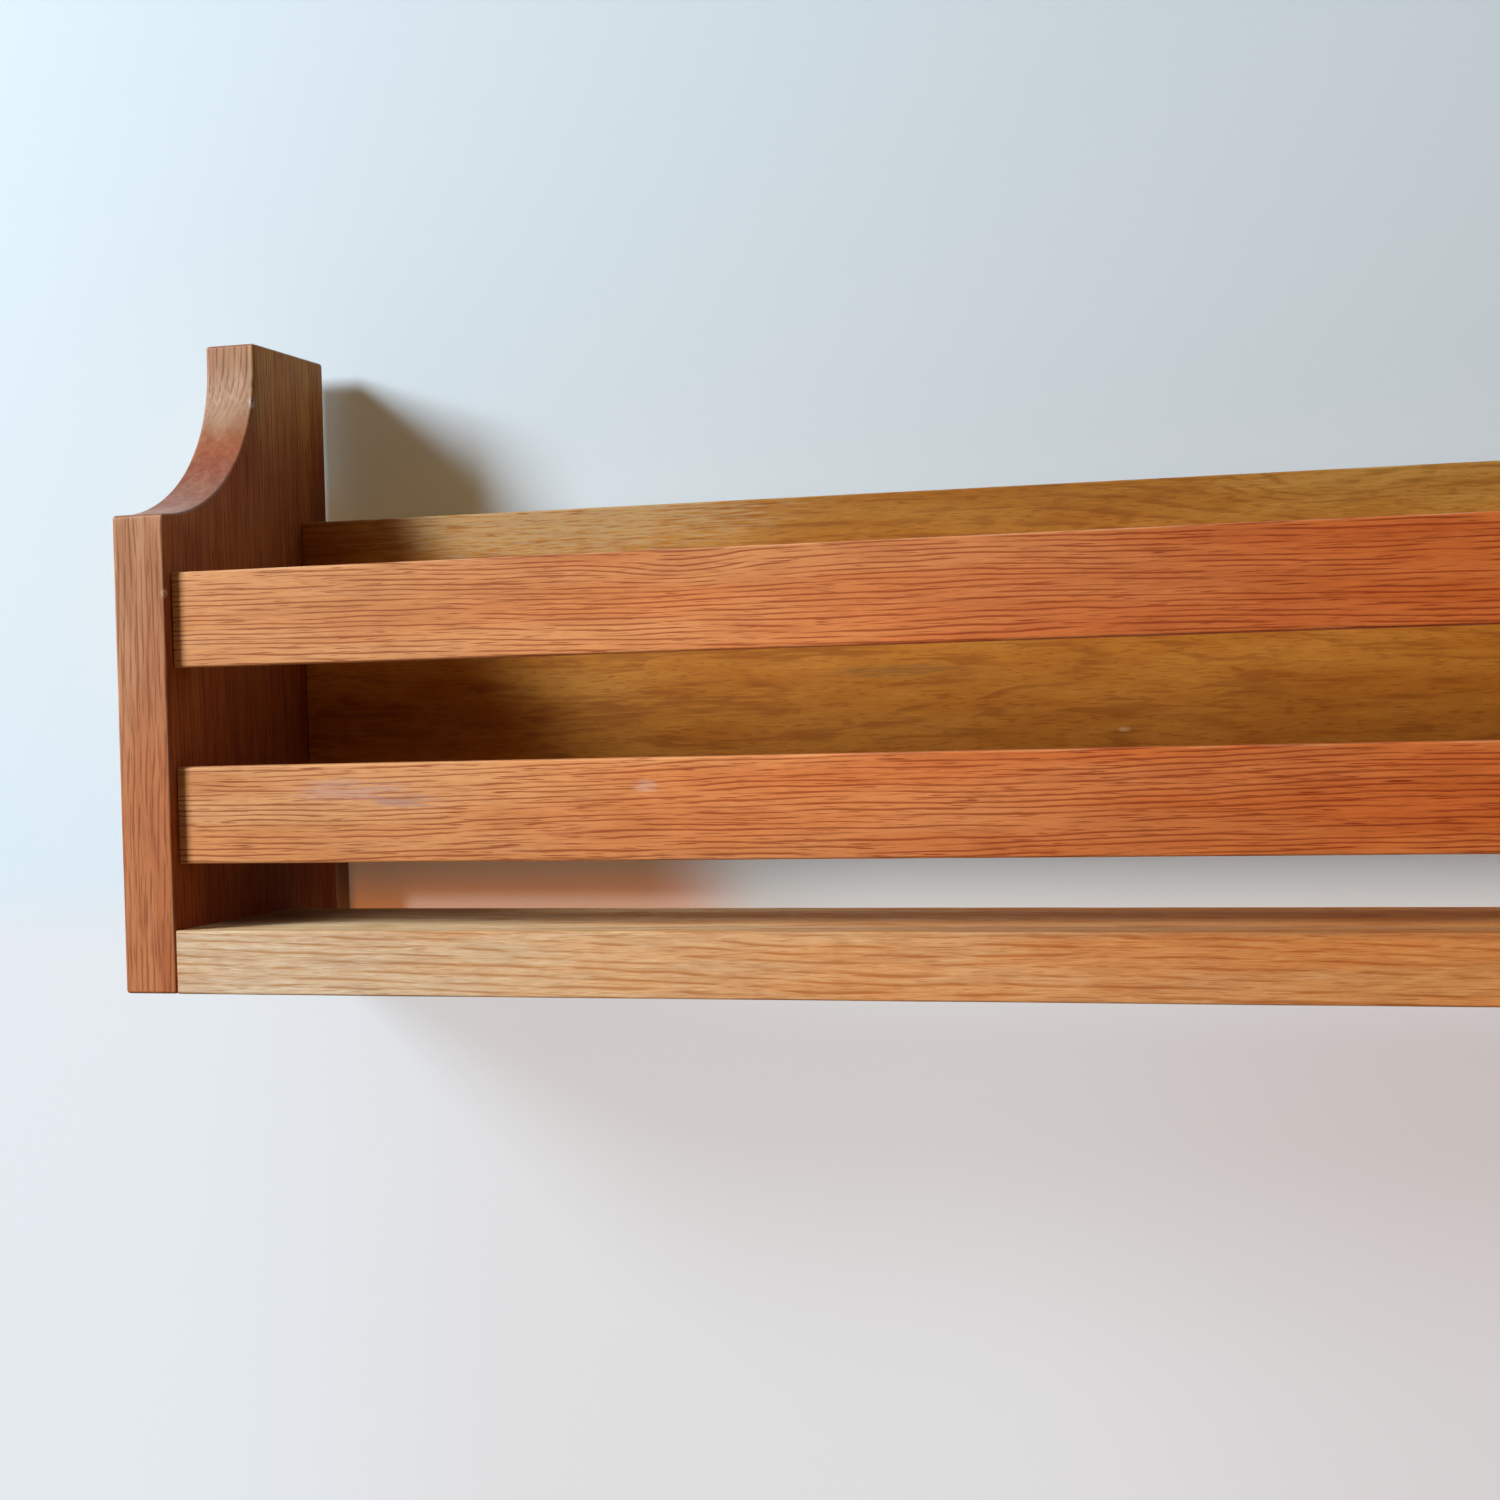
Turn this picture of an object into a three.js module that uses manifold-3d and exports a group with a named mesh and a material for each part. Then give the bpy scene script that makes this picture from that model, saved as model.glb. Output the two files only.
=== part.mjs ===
// A wall-hung oak plate rack: two end panels with a scooped front, a bottom shelf that the plates stand on,
// a back board that they lean against and two front rails that keep them in.
// Millimetres. X runs along the rack, +Y towards the wall, +Z up. The origin is under the rack's middle.
import * as THREE from "three";
import { mergeVertices } from "three/addons/utils/BufferGeometryUtils.js";
import Module from "manifold-3d";

const wasm = await Module();
wasm.setup();

// Driving dimensions of the whole rack.
const LENGTH = 900;
const DEPTH = 125;
const HEIGHT = 233;
const PANEL_THICKNESS = 20;

// The end panel's outline: an ear stands at the wall and a quarter ellipse scoops down to the front edge.
const EAR_DEPTH = 56.6;
const EAR_STRAIGHT = 8;
const SCOOP_REACH = 70.8;
const SCOOP_DROP = 60;

// The long boards, by their depth behind the rack's front plane and their height above its foot.
const SHELF = { front: 0, back: 85.5, bottom: 0, top: 22 };
const BACK_BOARD = { front: 103, back: DEPTH, bottom: 67, top: 169 };
const UPPER_RAIL = { front: 4, back: 16, bottom: 112, top: 145 };
const LOWER_RAIL = { front: 4, back: 16, bottom: 44.5, top: 78 };

// Eased arrises and the hairline left where one piece meets another.
const ARRIS = 0.8;
const ARRIS_STEPS = 2;
const JOINT_GAP = 0.2;
const FIT_GAP = 0.3;

// Dowels: round pegs that run from each board's end into the panel beside it.
// The shelf's are spaced back from its front edge, the others up from their board's lower edge.
const DOWEL_CHAMFER = 1;
const DOWEL_IN_PANEL = 12;
const DOWEL_IN_BOARD = 20;
const THICK_DOWEL_RADIUS = 4;
const THIN_DOWEL_RADIUS = 3;
const SHELF_PEGS = { front: 14, middle: 43, back: 72 };
const BACK_BOARD_PEGS = { lower: 16, middle: 51, upper: 86 };
const UPPER_RAIL_PEGS = { lower: 9, upper: 24 };
const LOWER_RAIL_PEGS = { lower: 9, upper: 24.5 };

// Keyhole hangers let into the back edges of the ears, each held by two countersunk screws.
const HANGER = { width: 14, height: 44, thickness: 2, middle: 206, corner: 3 };
const KEYHOLE = { entryRadius: 4.6, entryDrop: 6, slotWidth: 5.2, slotRise: 7 };
const KEYHOLE_POCKET = { width: 11, height: 26, depth: 9 };
const SCREW = { headRadius: 3.1, headDepth: 1.6, shankRadius: 1.5, length: 14, point: 4, spread: 17 };
const SCREW_SLOT = { width: 0.8, depth: 0.7 };

// How finely round shapes are faceted, how far a cutter runs past the face it cuts, and the distance
// under which two corners are one.
const DOWEL_SIDES = 20;
const ROUND_SIDES = 24;
const SCOOP_STEPS = 24;
const CORNER_STEPS = 4;
const KEYHOLE_STEPS = 12;
const OVERSHOOT = 1;
const SAME_POINT = 1e-4;

const FRONT_Y = -DEPTH / 2;
const BACK_Y = DEPTH / 2;
const BOARD_LENGTH = LENGTH - 2 * PANEL_THICKNESS - 2 * JOINT_GAP;
const PANEL_MIDDLE_X = (LENGTH - PANEL_THICKNESS) / 2;
const PANEL_INNER_X = LENGTH / 2 - PANEL_THICKNESS;

function wood(color, roughness) {
  return new THREE.MeshStandardMaterial({ color, roughness, metalness: 0 });
}

const materials = {
  panelOak: wood(0x9c5a34, 0.42),
  shelfOak: wood(0xc9976a, 0.45),
  railOak: wood(0xc9713f, 0.4),
  boardOak: wood(0xa06a30, 0.45),
  dowelBeech: wood(0xcfa878, 0.7),
  hangerSteel: new THREE.MeshStandardMaterial({ color: 0xb4b0a4, roughness: 0.4, metalness: 1 }),
  screwSteel: new THREE.MeshStandardMaterial({ color: 0x8f8b82, roughness: 0.35, metalness: 1 }),
};

// Turns an extrusion of a (depth, height) section so that its sweep runs along X.
const ALONG_X = new THREE.Matrix4().makeBasis(
  new THREE.Vector3(0, 1, 0),
  new THREE.Vector3(0, 0, 1),
  new THREE.Vector3(1, 0, 0),
);

// Turns an extrusion of an (across, height) section so that its sweep runs along -Y, away from the wall.
const ALONG_BACK = new THREE.Matrix4().makeBasis(
  new THREE.Vector3(1, 0, 0),
  new THREE.Vector3(0, 0, 1),
  new THREE.Vector3(0, -1, 0),
);

// A closed geometry as a solid that can be cut.
function solidFrom(geometry) {
  const bare = geometry.index ? geometry.toNonIndexed() : geometry.clone();
  bare.deleteAttribute("normal");
  bare.deleteAttribute("uv");
  const merged = mergeVertices(bare, SAME_POINT);
  return new wasm.Manifold(
    new wasm.Mesh({
      numProp: 3,
      vertProperties: new Float32Array(merged.attributes.position.array),
      triVerts: new Uint32Array(merged.index.array),
    }),
  );
}

function geometryFrom(solid) {
  const mesh = solid.getMesh();
  const geometry = new THREE.BufferGeometry();
  geometry.setAttribute("position", new THREE.BufferAttribute(mesh.vertProperties, 3));
  geometry.setIndex(new THREE.BufferAttribute(mesh.triVerts, 1));
  const flat = geometry.toNonIndexed();
  flat.computeVertexNormals();
  return flat;
}

function cut(geometry, cutters) {
  let solid = solidFrom(geometry);
  for (const cutter of cutters) {
    solid = solid.subtract(solidFrom(cutter));
  }
  return geometryFrom(solid);
}

// A rectangle with rounded corners, in a section's own two directions.
function roundedRectangle(left, right, bottom, top, radius) {
  const shape = new THREE.Shape();
  shape.moveTo(left + radius, bottom);
  shape.absarc(right - radius, bottom + radius, radius, -Math.PI / 2, 0, false);
  shape.absarc(right - radius, top - radius, radius, 0, Math.PI / 2, false);
  shape.absarc(left + radius, top - radius, radius, Math.PI / 2, Math.PI, false);
  shape.absarc(left + radius, bottom + radius, radius, Math.PI, 1.5 * Math.PI, false);
  return shape;
}

// The end panel's side view, with the front plane at 0 and the wall at DEPTH.
function panelOutline() {
  const earFront = DEPTH - EAR_DEPTH;
  const centreDepth = earFront - SCOOP_REACH;
  const centreHeight = HEIGHT - EAR_STRAIGHT;
  const frontAngle = -Math.acos(-centreDepth / SCOOP_REACH);
  const shape = new THREE.Shape();
  shape.moveTo(0, 0);
  shape.lineTo(DEPTH, 0);
  shape.lineTo(DEPTH, HEIGHT);
  shape.lineTo(earFront, HEIGHT);
  shape.absellipse(centreDepth, centreHeight, SCOOP_REACH, SCOOP_DROP, 0, frontAngle, true);
  return shape;
}

function panelBlank() {
  const blank = new THREE.ExtrudeGeometry(panelOutline(), {
    depth: PANEL_THICKNESS - 2 * ARRIS,
    curveSegments: SCOOP_STEPS,
    bevelEnabled: true,
    bevelThickness: ARRIS,
    bevelSize: ARRIS,
    bevelOffset: -ARRIS,
    bevelSegments: 1,
  });
  blank.translate(0, 0, -PANEL_THICKNESS / 2 + ARRIS);
  blank.applyMatrix4(ALONG_X);
  return blank.translate(0, FRONT_Y, 0);
}

function boardBlank(board) {
  const section = roundedRectangle(board.front, board.back, board.bottom, board.top, ARRIS);
  const blank = new THREE.ExtrudeGeometry(section, {
    depth: BOARD_LENGTH,
    curveSegments: ARRIS_STEPS,
    bevelEnabled: false,
  });
  blank.translate(0, 0, -BOARD_LENGTH / 2);
  blank.applyMatrix4(ALONG_X);
  return blank.translate(0, FRONT_Y, 0);
}

// Where each long board is pegged: its dowels' radius, and their depths and heights by name.
const dowelRows = {
  shelf: { radius: THICK_DOWEL_RADIUS, pegs: spreadAlongDepth(SHELF, SHELF_PEGS) },
  back_board: { radius: THICK_DOWEL_RADIUS, pegs: spreadUpHeight(BACK_BOARD, BACK_BOARD_PEGS) },
  upper_rail: { radius: THIN_DOWEL_RADIUS, pegs: spreadUpHeight(UPPER_RAIL, UPPER_RAIL_PEGS) },
  lower_rail: { radius: THIN_DOWEL_RADIUS, pegs: spreadUpHeight(LOWER_RAIL, LOWER_RAIL_PEGS) },
};

function spreadAlongDepth(board, offsets) {
  const height = (board.bottom + board.top) / 2;
  return Object.entries(offsets).map(([place, offset]) => ({
    place,
    y: FRONT_Y + board.front + offset,
    z: height,
  }));
}

function spreadUpHeight(board, offsets) {
  const depth = (board.front + board.back) / 2;
  return Object.entries(offsets).map(([place, offset]) => ({
    place,
    y: FRONT_Y + depth,
    z: board.bottom + offset,
  }));
}

// A round bar along X from one place to another, used to bore a dowel's hole.
function boreAlongX(fromX, toX, y, z, radius) {
  const bore = new THREE.CylinderGeometry(radius, radius, Math.abs(toX - fromX), DOWEL_SIDES);
  bore.rotateZ(Math.PI / 2);
  return bore.translate((fromX + toX) / 2, y, z);
}

// The bores that one side's dowels need, in the panel or in one board's end.
function panelBores(side) {
  const bottomX = side * (PANEL_INNER_X + DOWEL_IN_PANEL + FIT_GAP);
  const mouthX = side * (PANEL_INNER_X - OVERSHOOT);
  return Object.values(dowelRows).flatMap(({ radius, pegs }) =>
    pegs.map(({ y, z }) => boreAlongX(bottomX, mouthX, y, z, radius + FIT_GAP)),
  );
}

function boardBores({ radius, pegs }) {
  const bottomX = PANEL_INNER_X - DOWEL_IN_BOARD - FIT_GAP;
  const mouthX = PANEL_INNER_X + OVERSHOOT;
  return [-1, 1].flatMap((side) =>
    pegs.map(({ y, z }) => boreAlongX(side * bottomX, side * mouthX, y, z, radius + FIT_GAP)),
  );
}

// A dowel lies along X about its own middle, with both ends chamfered.
function dowelGeometry(radius) {
  const half = (DOWEL_IN_PANEL + DOWEL_IN_BOARD) / 2;
  const profile = [
    new THREE.Vector2(0, -half),
    new THREE.Vector2(radius - DOWEL_CHAMFER, -half),
    new THREE.Vector2(radius, -half + DOWEL_CHAMFER),
    new THREE.Vector2(radius, half - DOWEL_CHAMFER),
    new THREE.Vector2(radius - DOWEL_CHAMFER, half),
    new THREE.Vector2(0, half),
  ];
  return new THREE.LatheGeometry(profile, DOWEL_SIDES).rotateZ(Math.PI / 2);
}

// The recess that a hanger plate drops into, flush with the panel's back edge.
function hangerRecess(x) {
  const half = HANGER.width / 2 + FIT_GAP;
  const recess = new THREE.ExtrudeGeometry(
    roundedRectangle(
      -half,
      half,
      -HANGER.height / 2 - FIT_GAP,
      HANGER.height / 2 + FIT_GAP,
      HANGER.corner,
    ),
    {
      depth: HANGER.thickness + FIT_GAP + OVERSHOOT,
      curveSegments: CORNER_STEPS,
      bevelEnabled: false,
    },
  );
  recess.applyMatrix4(ALONG_BACK);
  return recess.translate(x, BACK_Y + OVERSHOOT, HANGER.middle);
}

// The deeper pocket behind the keyhole, where the head of the wall's screw sits.
function keyholePocket(x) {
  const { width, height, depth } = KEYHOLE_POCKET;
  const mouthY = BACK_Y - HANGER.thickness;
  const pocket = new THREE.BoxGeometry(width, depth, height);
  return pocket.translate(x, mouthY - depth / 2, HANGER.middle);
}

function screwPilot(x, z) {
  const depth = SCREW.length + FIT_GAP;
  const radius = SCREW.shankRadius + FIT_GAP;
  return new THREE.CylinderGeometry(radius, radius, depth, ROUND_SIDES)
    .translate(x, BACK_Y - depth / 2, z);
}

const screwHeights = {
  lower: HANGER.middle - SCREW.spread,
  upper: HANGER.middle + SCREW.spread,
};

function endPanelGeometry(side) {
  const x = side * PANEL_MIDDLE_X;
  const blank = panelBlank().translate(x, 0, 0);
  const pilots = Object.values(screwHeights).map((z) => screwPilot(x, z));
  return cut(blank, [...panelBores(side), hangerRecess(x), keyholePocket(x), ...pilots]);
}

// The keyhole's outline: a round entry for the screw's head below a narrow slot for its neck.
function keyholeOutline() {
  const { entryRadius, entryDrop, slotWidth, slotRise } = KEYHOLE;
  const half = slotWidth / 2;
  const side = Math.asin(half / entryRadius);
  const hole = new THREE.Path();
  hole.absarc(0, -entryDrop, entryRadius, Math.PI / 2 - side, Math.PI / 2 + side, true);
  hole.absarc(0, slotRise, half, Math.PI, 0, true);
  hole.closePath();
  return hole;
}

// A cone the shape of the screw's head with its gap, which countersinks the plate.
function countersink(z) {
  const head = SCREW.headRadius + FIT_GAP;
  const neck = SCREW.shankRadius + FIT_GAP;
  const profile = [
    new THREE.Vector2(0, -HANGER.thickness - OVERSHOOT),
    new THREE.Vector2(neck, -HANGER.thickness - OVERSHOOT),
    new THREE.Vector2(neck, -SCREW.headDepth),
    new THREE.Vector2(head, 0),
    new THREE.Vector2(head, OVERSHOOT),
    new THREE.Vector2(0, OVERSHOOT),
  ];
  return new THREE.LatheGeometry(profile, ROUND_SIDES).translate(0, BACK_Y, z);
}

function hangerPlateGeometry() {
  const half = HANGER.width / 2;
  const outline = roundedRectangle(-half, half, -HANGER.height / 2, HANGER.height / 2, HANGER.corner);
  outline.holes.push(keyholeOutline());
  const plate = new THREE.ExtrudeGeometry(outline, {
    depth: HANGER.thickness,
    curveSegments: KEYHOLE_STEPS,
    bevelEnabled: false,
  });
  plate.applyMatrix4(ALONG_BACK);
  plate.translate(0, BACK_Y, HANGER.middle);
  return cut(plate, Object.values(screwHeights).map(countersink));
}

// A slotted countersunk wood screw about its own axis, with its head's face at 0 and its point at -Y.
function screwGeometry() {
  const { headRadius, headDepth, shankRadius, length, point } = SCREW;
  const profile = [
    new THREE.Vector2(0, -length),
    new THREE.Vector2(shankRadius, -length + point),
    new THREE.Vector2(shankRadius, -headDepth),
    new THREE.Vector2(headRadius, 0),
    new THREE.Vector2(0, 0),
  ];
  const body = new THREE.LatheGeometry(profile, ROUND_SIDES);
  const slot = new THREE.BoxGeometry(SCREW_SLOT.width, 2 * SCREW_SLOT.depth, 3 * headRadius);
  return cut(body, [slot]);
}

function piece(name, geometry, material) {
  const mesh = new THREE.Mesh(geometry, material);
  mesh.name = name;
  return mesh;
}

function longBoard(name, board, material) {
  return piece(name, cut(boardBlank(board), boardBores(dowelRows[name])), material);
}

// The pegs at one end of the rack.
function dowels(side, end) {
  const group = new THREE.Group();
  const x = side * (PANEL_INNER_X + (DOWEL_IN_PANEL - DOWEL_IN_BOARD) / 2);
  for (const [board, { radius, pegs }] of Object.entries(dowelRows)) {
    for (const { place, y, z } of pegs) {
      const name = `${end}_${board}_dowel_${place}`;
      const dowel = piece(name, dowelGeometry(radius), materials.dowelBeech);
      dowel.position.set(x, y, z);
      group.add(dowel);
    }
  }
  return group;
}

// One keyhole hanger with its screws, centred on the back edge of its end panel.
function hanger(side, end) {
  const group = new THREE.Group();
  group.position.x = side * PANEL_MIDDLE_X;
  group.add(piece(`${end}_hanger_plate`, hangerPlateGeometry(), materials.hangerSteel));
  for (const [place, z] of Object.entries(screwHeights)) {
    const screw = piece(`${end}_hanger_screw_${place}`, screwGeometry(), materials.screwSteel);
    screw.position.set(0, BACK_Y, z);
    group.add(screw);
  }
  return group;
}

function endAssembly(side, end) {
  const group = new THREE.Group();
  group.add(piece(`${end}_end_panel`, endPanelGeometry(side), materials.panelOak));
  group.add(dowels(side, end));
  group.add(hanger(side, end));
  return group;
}

const rack = new THREE.Group();
rack.add(endAssembly(-1, "left"));
rack.add(endAssembly(1, "right"));
rack.add(longBoard("shelf", SHELF, materials.shelfOak));
rack.add(longBoard("back_board", BACK_BOARD, materials.boardOak));
rack.add(longBoard("upper_rail", UPPER_RAIL, materials.railOak));
rack.add(longBoard("lower_rail", LOWER_RAIL, materials.railOak));

export default rack;
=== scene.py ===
# %% [markdown]
# This lesson dresses a wall-hung oak plate rack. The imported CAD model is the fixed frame: it says where each
# board, dowel and hanger is, and every piece made here is cut to the box of the CAD piece it stands for. A
# piece could be drawn anywhere and fitted later. Starting from the frame is safer, as nothing moves then.

import math

import bmesh
import bpy
from mathutils import Matrix, Vector


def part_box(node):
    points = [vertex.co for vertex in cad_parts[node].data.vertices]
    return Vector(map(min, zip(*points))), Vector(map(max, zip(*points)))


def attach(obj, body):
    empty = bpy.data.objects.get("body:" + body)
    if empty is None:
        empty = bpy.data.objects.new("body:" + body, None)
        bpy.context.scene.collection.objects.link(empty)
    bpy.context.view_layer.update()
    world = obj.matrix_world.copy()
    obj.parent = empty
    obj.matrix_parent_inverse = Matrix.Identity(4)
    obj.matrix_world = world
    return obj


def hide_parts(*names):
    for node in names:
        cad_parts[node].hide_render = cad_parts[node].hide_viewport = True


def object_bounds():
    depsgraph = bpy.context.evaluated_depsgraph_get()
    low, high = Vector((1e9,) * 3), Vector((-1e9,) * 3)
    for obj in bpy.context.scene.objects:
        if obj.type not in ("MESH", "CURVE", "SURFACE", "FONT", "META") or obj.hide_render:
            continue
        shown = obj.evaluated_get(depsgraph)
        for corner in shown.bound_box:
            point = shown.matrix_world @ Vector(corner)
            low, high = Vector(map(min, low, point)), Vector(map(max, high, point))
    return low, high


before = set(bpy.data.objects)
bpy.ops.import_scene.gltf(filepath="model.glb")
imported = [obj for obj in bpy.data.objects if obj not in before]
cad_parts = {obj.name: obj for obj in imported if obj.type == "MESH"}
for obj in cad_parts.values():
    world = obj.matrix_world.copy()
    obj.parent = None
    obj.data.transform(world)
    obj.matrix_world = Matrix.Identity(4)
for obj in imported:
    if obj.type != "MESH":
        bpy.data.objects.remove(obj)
cad_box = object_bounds()
MM = 0.001


def in_mm(lengths):
    """Turns lengths in metres into rounded millimetres, to print."""
    return [round(length / MM, 1) for length in lengths]


print("The frame holds", len(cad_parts), "pieces")
print("Its box is", *(in_mm(corner) for corner in cad_box), "mm")

# %% [markdown]
# The camera stands close to the left end, at the height of the upper rail, and is turned a little left.
# A camera can be placed by eye or worked out from the edges in the picture. Here its place, three small turns
# and its lens were worked out from the board edges, so they are real distances and angles.

# %% Stand the camera where the photograph was taken
EYE = Vector((-23.8, -761.3, 92.8)) * MM
TURNED_LEFT = math.radians(15.95)
TIPPED_DOWN = math.radians(1.028)
LEANED = math.radians(-1.494)
LENS = 54.94
SENSOR = 36
NEAREST = 10 * MM

camera = bpy.data.objects.new("photo_camera", bpy.data.cameras.new("photo_camera"))
bpy.context.scene.collection.objects.link(camera)
camera.data.lens = LENS
camera.data.sensor_width = SENSOR
camera.data.sensor_fit = "HORIZONTAL"
camera.data.clip_start = NEAREST
camera.matrix_world = (
    Matrix.Translation(EYE)
    @ Matrix.Rotation(TURNED_LEFT, 4, "Z")
    @ Matrix.Rotation(math.pi / 2 - TIPPED_DOWN, 4, "X")
    @ Matrix.Rotation(LEANED, 4, "Z")
)
bpy.context.scene.camera = camera
bpy.context.scene.view_settings.view_transform = "Standard"
print("The camera stands", round(-EYE.y / MM), "mm in front of the rack's middle plane")

# %% [markdown]
# Every finish below is a small network of shader nodes. They could be wired by hand in the shader editor.
# In a script it reads better with a few helpers: one that adds a node, one for sums, one that turns a range
# of numbers into 0 to 1, one for noise stretched along the grain, and one that mixes two colours.

# %% Helpers for wiring a finish
NOISE_ROUGHNESS = 0.55


def new_tree(name):
    """Starts an empty material and returns it with its node tree."""
    material = bpy.data.materials.new(name)
    material.use_nodes = True
    material.node_tree.nodes.clear()
    return material, material.node_tree


def add(tree, kind, inputs=None, **settings):
    """Adds one shader node, sets it, and joins or fills its inputs."""
    made = tree.nodes.new("ShaderNode" + kind)
    for name, value in settings.items():
        setattr(made, name, value)
    for name, value in (inputs or {}).items():
        if isinstance(value, bpy.types.NodeSocket):
            tree.links.new(value, made.inputs[name])
        else:
            made.inputs[name].default_value = value
    return made


def calc(tree, operation, a, b=0.0):
    return add(tree, "Math", {0: a, 1: b}, operation=operation).outputs[0]


def length_of(tree, vector):
    return add(tree, "VectorMath", {0: vector}, operation="LENGTH").outputs["Value"]


def rise(tree, value, low, high, start=0.0, end=1.0):
    """Turns the range from low to high into a smooth rise from start to end."""
    inputs = {"Value": value, "From Min": low, "From Max": high, "To Min": start, "To Max": end}
    return add(tree, "MapRange", inputs, interpolation_type="SMOOTHSTEP").outputs["Result"]


def streaks(tree, place, along, across, detail=2.0, slid=0.0):
    """Noise in millimetres, stretched along the grain, from 0 to 1 about 0.5."""
    scale = (1 / along, 1 / across, 1 / across)
    stretched = add(tree, "Mapping", {"Vector": place, "Scale": scale, "Location": (slid, slid, slid)})
    noise = {"Vector": stretched.outputs[0], "Scale": 1.0, "Detail": detail, "Roughness": NOISE_ROUGHNESS}
    return add(tree, "TexNoise", noise, noise_dimensions="3D").outputs["Fac"]


def tint(tree, factor, a, b, way="MIX"):
    """Mixes colour b into colour a."""
    mixed = add(tree, "Mix", {0: factor}, data_type="RGBA", blend_type=way)
    for socket, value in ((6, a), (7, b)):
        if isinstance(value, bpy.types.NodeSocket):
            tree.links.new(value, mixed.inputs[socket])
        else:
            mixed.inputs[socket].default_value = (*value, 1.0)
    return mixed.outputs[2]


print("Helpers are ready: new_tree, add, calc, length_of, rise, streaks and tint")

# %% [markdown]
# Nothing in oak is quite even: rings sway, colour drifts, pores come and go. One noise could drive all of
# these, but then they would swell and fade together. So each is a layer of its own, with its own detail, and
# slid by another amount so that no two line up. A board's recipe gives each layer its size.

# %% Name the layers of noise
NOISE_MIDDLE = 0.5
NOISE_REACH = 0.25
NOISE = {
    "sway": (1.0, 0.0),
    "ripple": (1.0, 5.3),
    "drift": (2.0, 11.0),
    "fade_and_falloff": (2.0, 17.0),
    "line": (1.0, 3.1),
    "stroke": (1.5, 8.7),
    "fibre": (2.0, 1.7),
    "mottle": (2.0, 14.2),
    "fleck": (1.0, 24.2),
    "sheen": (2.0, 21.0),
    "blotch": (3.0, 50.0),
    "arris_wear_and_shade": (3.0, 31.0),
    "mark": (3.0, 40.0),
}


def layer(tree, place, wood, name):
    """One layer of noise, at the size along and across the grain that the recipe gives it."""
    return streaks(tree, place, *wood[name + "_size"], *NOISE[name])


def shown(tree, place, wood, name, start=0.0, end=1.0):
    """A layer that rises from start to end between the two levels of noise that the recipe gives it."""
    return rise(tree, layer(tree, place, wood, name), *wood[name + "_share"], start, end)


def swing(tree, noise, reach):
    """Noise made to swing from about minus to plus its reach."""
    return calc(tree, "MULTIPLY", calc(tree, "SUBTRACT", noise, NOISE_MIDDLE), reach / NOISE_REACH)


print("Layers of noise in the oak:", ", ".join(NOISE))

# %% [markdown]
# Oak is a ring-porous wood: each year's growth starts with a band of open pores and ends in dense smooth
# wood. A picture of grain could be wrapped round each board, but it would stretch at the edges and repeat.
# Instead the log itself is described, as rings about a pith line that runs beside the board, and the board
# is cut from it. Faces, edges and ends then agree with each other as they do on real timber.

# %% Describe a log
WAVES = ("sway", "ripple")


def log_place(tree, turn, pith):
    """Places in the log in millimetres: X along the grain, with the pith as the line Y = Z = 0."""
    own = add(tree, "TexCoord").outputs["Object"]
    inputs = {"Vector": own, "Scale": (1 / MM,) * 3, "Rotation": turn, "Location": tuple(-c for c in pith)}
    return own, add(tree, "Mapping", inputs).outputs[0]


def nearness(tree, own, middle, reach):
    """1 at a named place on the rack, falling smoothly to 0 at its reach each way, in millimetres."""
    middle, reach = (tuple(part * MM for part in parts) for parts in (middle, reach))
    away = add(tree, "VectorMath", {0: own, 1: middle}, operation="SUBTRACT").outputs[0]
    scaled = add(tree, "VectorMath", {0: away, 1: reach}, operation="DIVIDE").outputs[0]
    return rise(tree, length_of(tree, scaled), 0.0, 1.0, 1.0, 0.0)


def facing(tree, axis):
    """How far the surface faces along one axis of the rack, from -1 to 1."""
    return add(tree, "SeparateXYZ", {0: add(tree, "TexCoord").outputs["Normal"]}).outputs[axis]


def ring_age(tree, own, place, wood):
    """How far through its year's growth each point is, from 0 at the porous start to 1."""
    flat = add(tree, "VectorMath", {0: place, 1: (0, 1, 1)}, operation="MULTIPLY").outputs[0]
    along = add(tree, "SeparateXYZ", {0: place}).outputs[0]
    total = calc(tree, "ADD", length_of(tree, flat), calc(tree, "MULTIPLY", along, wood["taper"]))
    for name in WAVES:
        total = calc(tree, "ADD", total, swing(tree, layer(tree, place, wood, name), wood[name]))
    for middle, reach, lift in wood["figures"]:
        total = calc(tree, "ADD", total, calc(tree, "MULTIPLY", nearness(tree, own, middle, reach), lift))
    return calc(tree, "FRACT", calc(tree, "DIVIDE", total, wood["ring"]))


print("The rings are bent by these layers:", ", ".join(WAVES))

# %% [markdown]
# A varnished oak surface has these things that show from a step away: slow drifts of colour, dark pore lines
# where each ring starts, shorter strokes between them, fine fibre, and pale flecks where rays of cells are
# cut. They could be painted into one picture. As layers with a size in millimetres they stay sharp however
# close the eye comes, and the pores and the fibre also shape the bump.

# %% Cut a board from the log
PORES_OPEN = (0.0, 0.1)
PORES_CLOSE = (0.22, 0.5)
GRAIN_TURNS_OUT = (0.1, 0.5)
PORES_ON_ENDS = 0.1
FIBRE_RELIEF = 0.25
PORE_ROUGH = 0.12
SHEEN_SWING = 0.05


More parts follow.
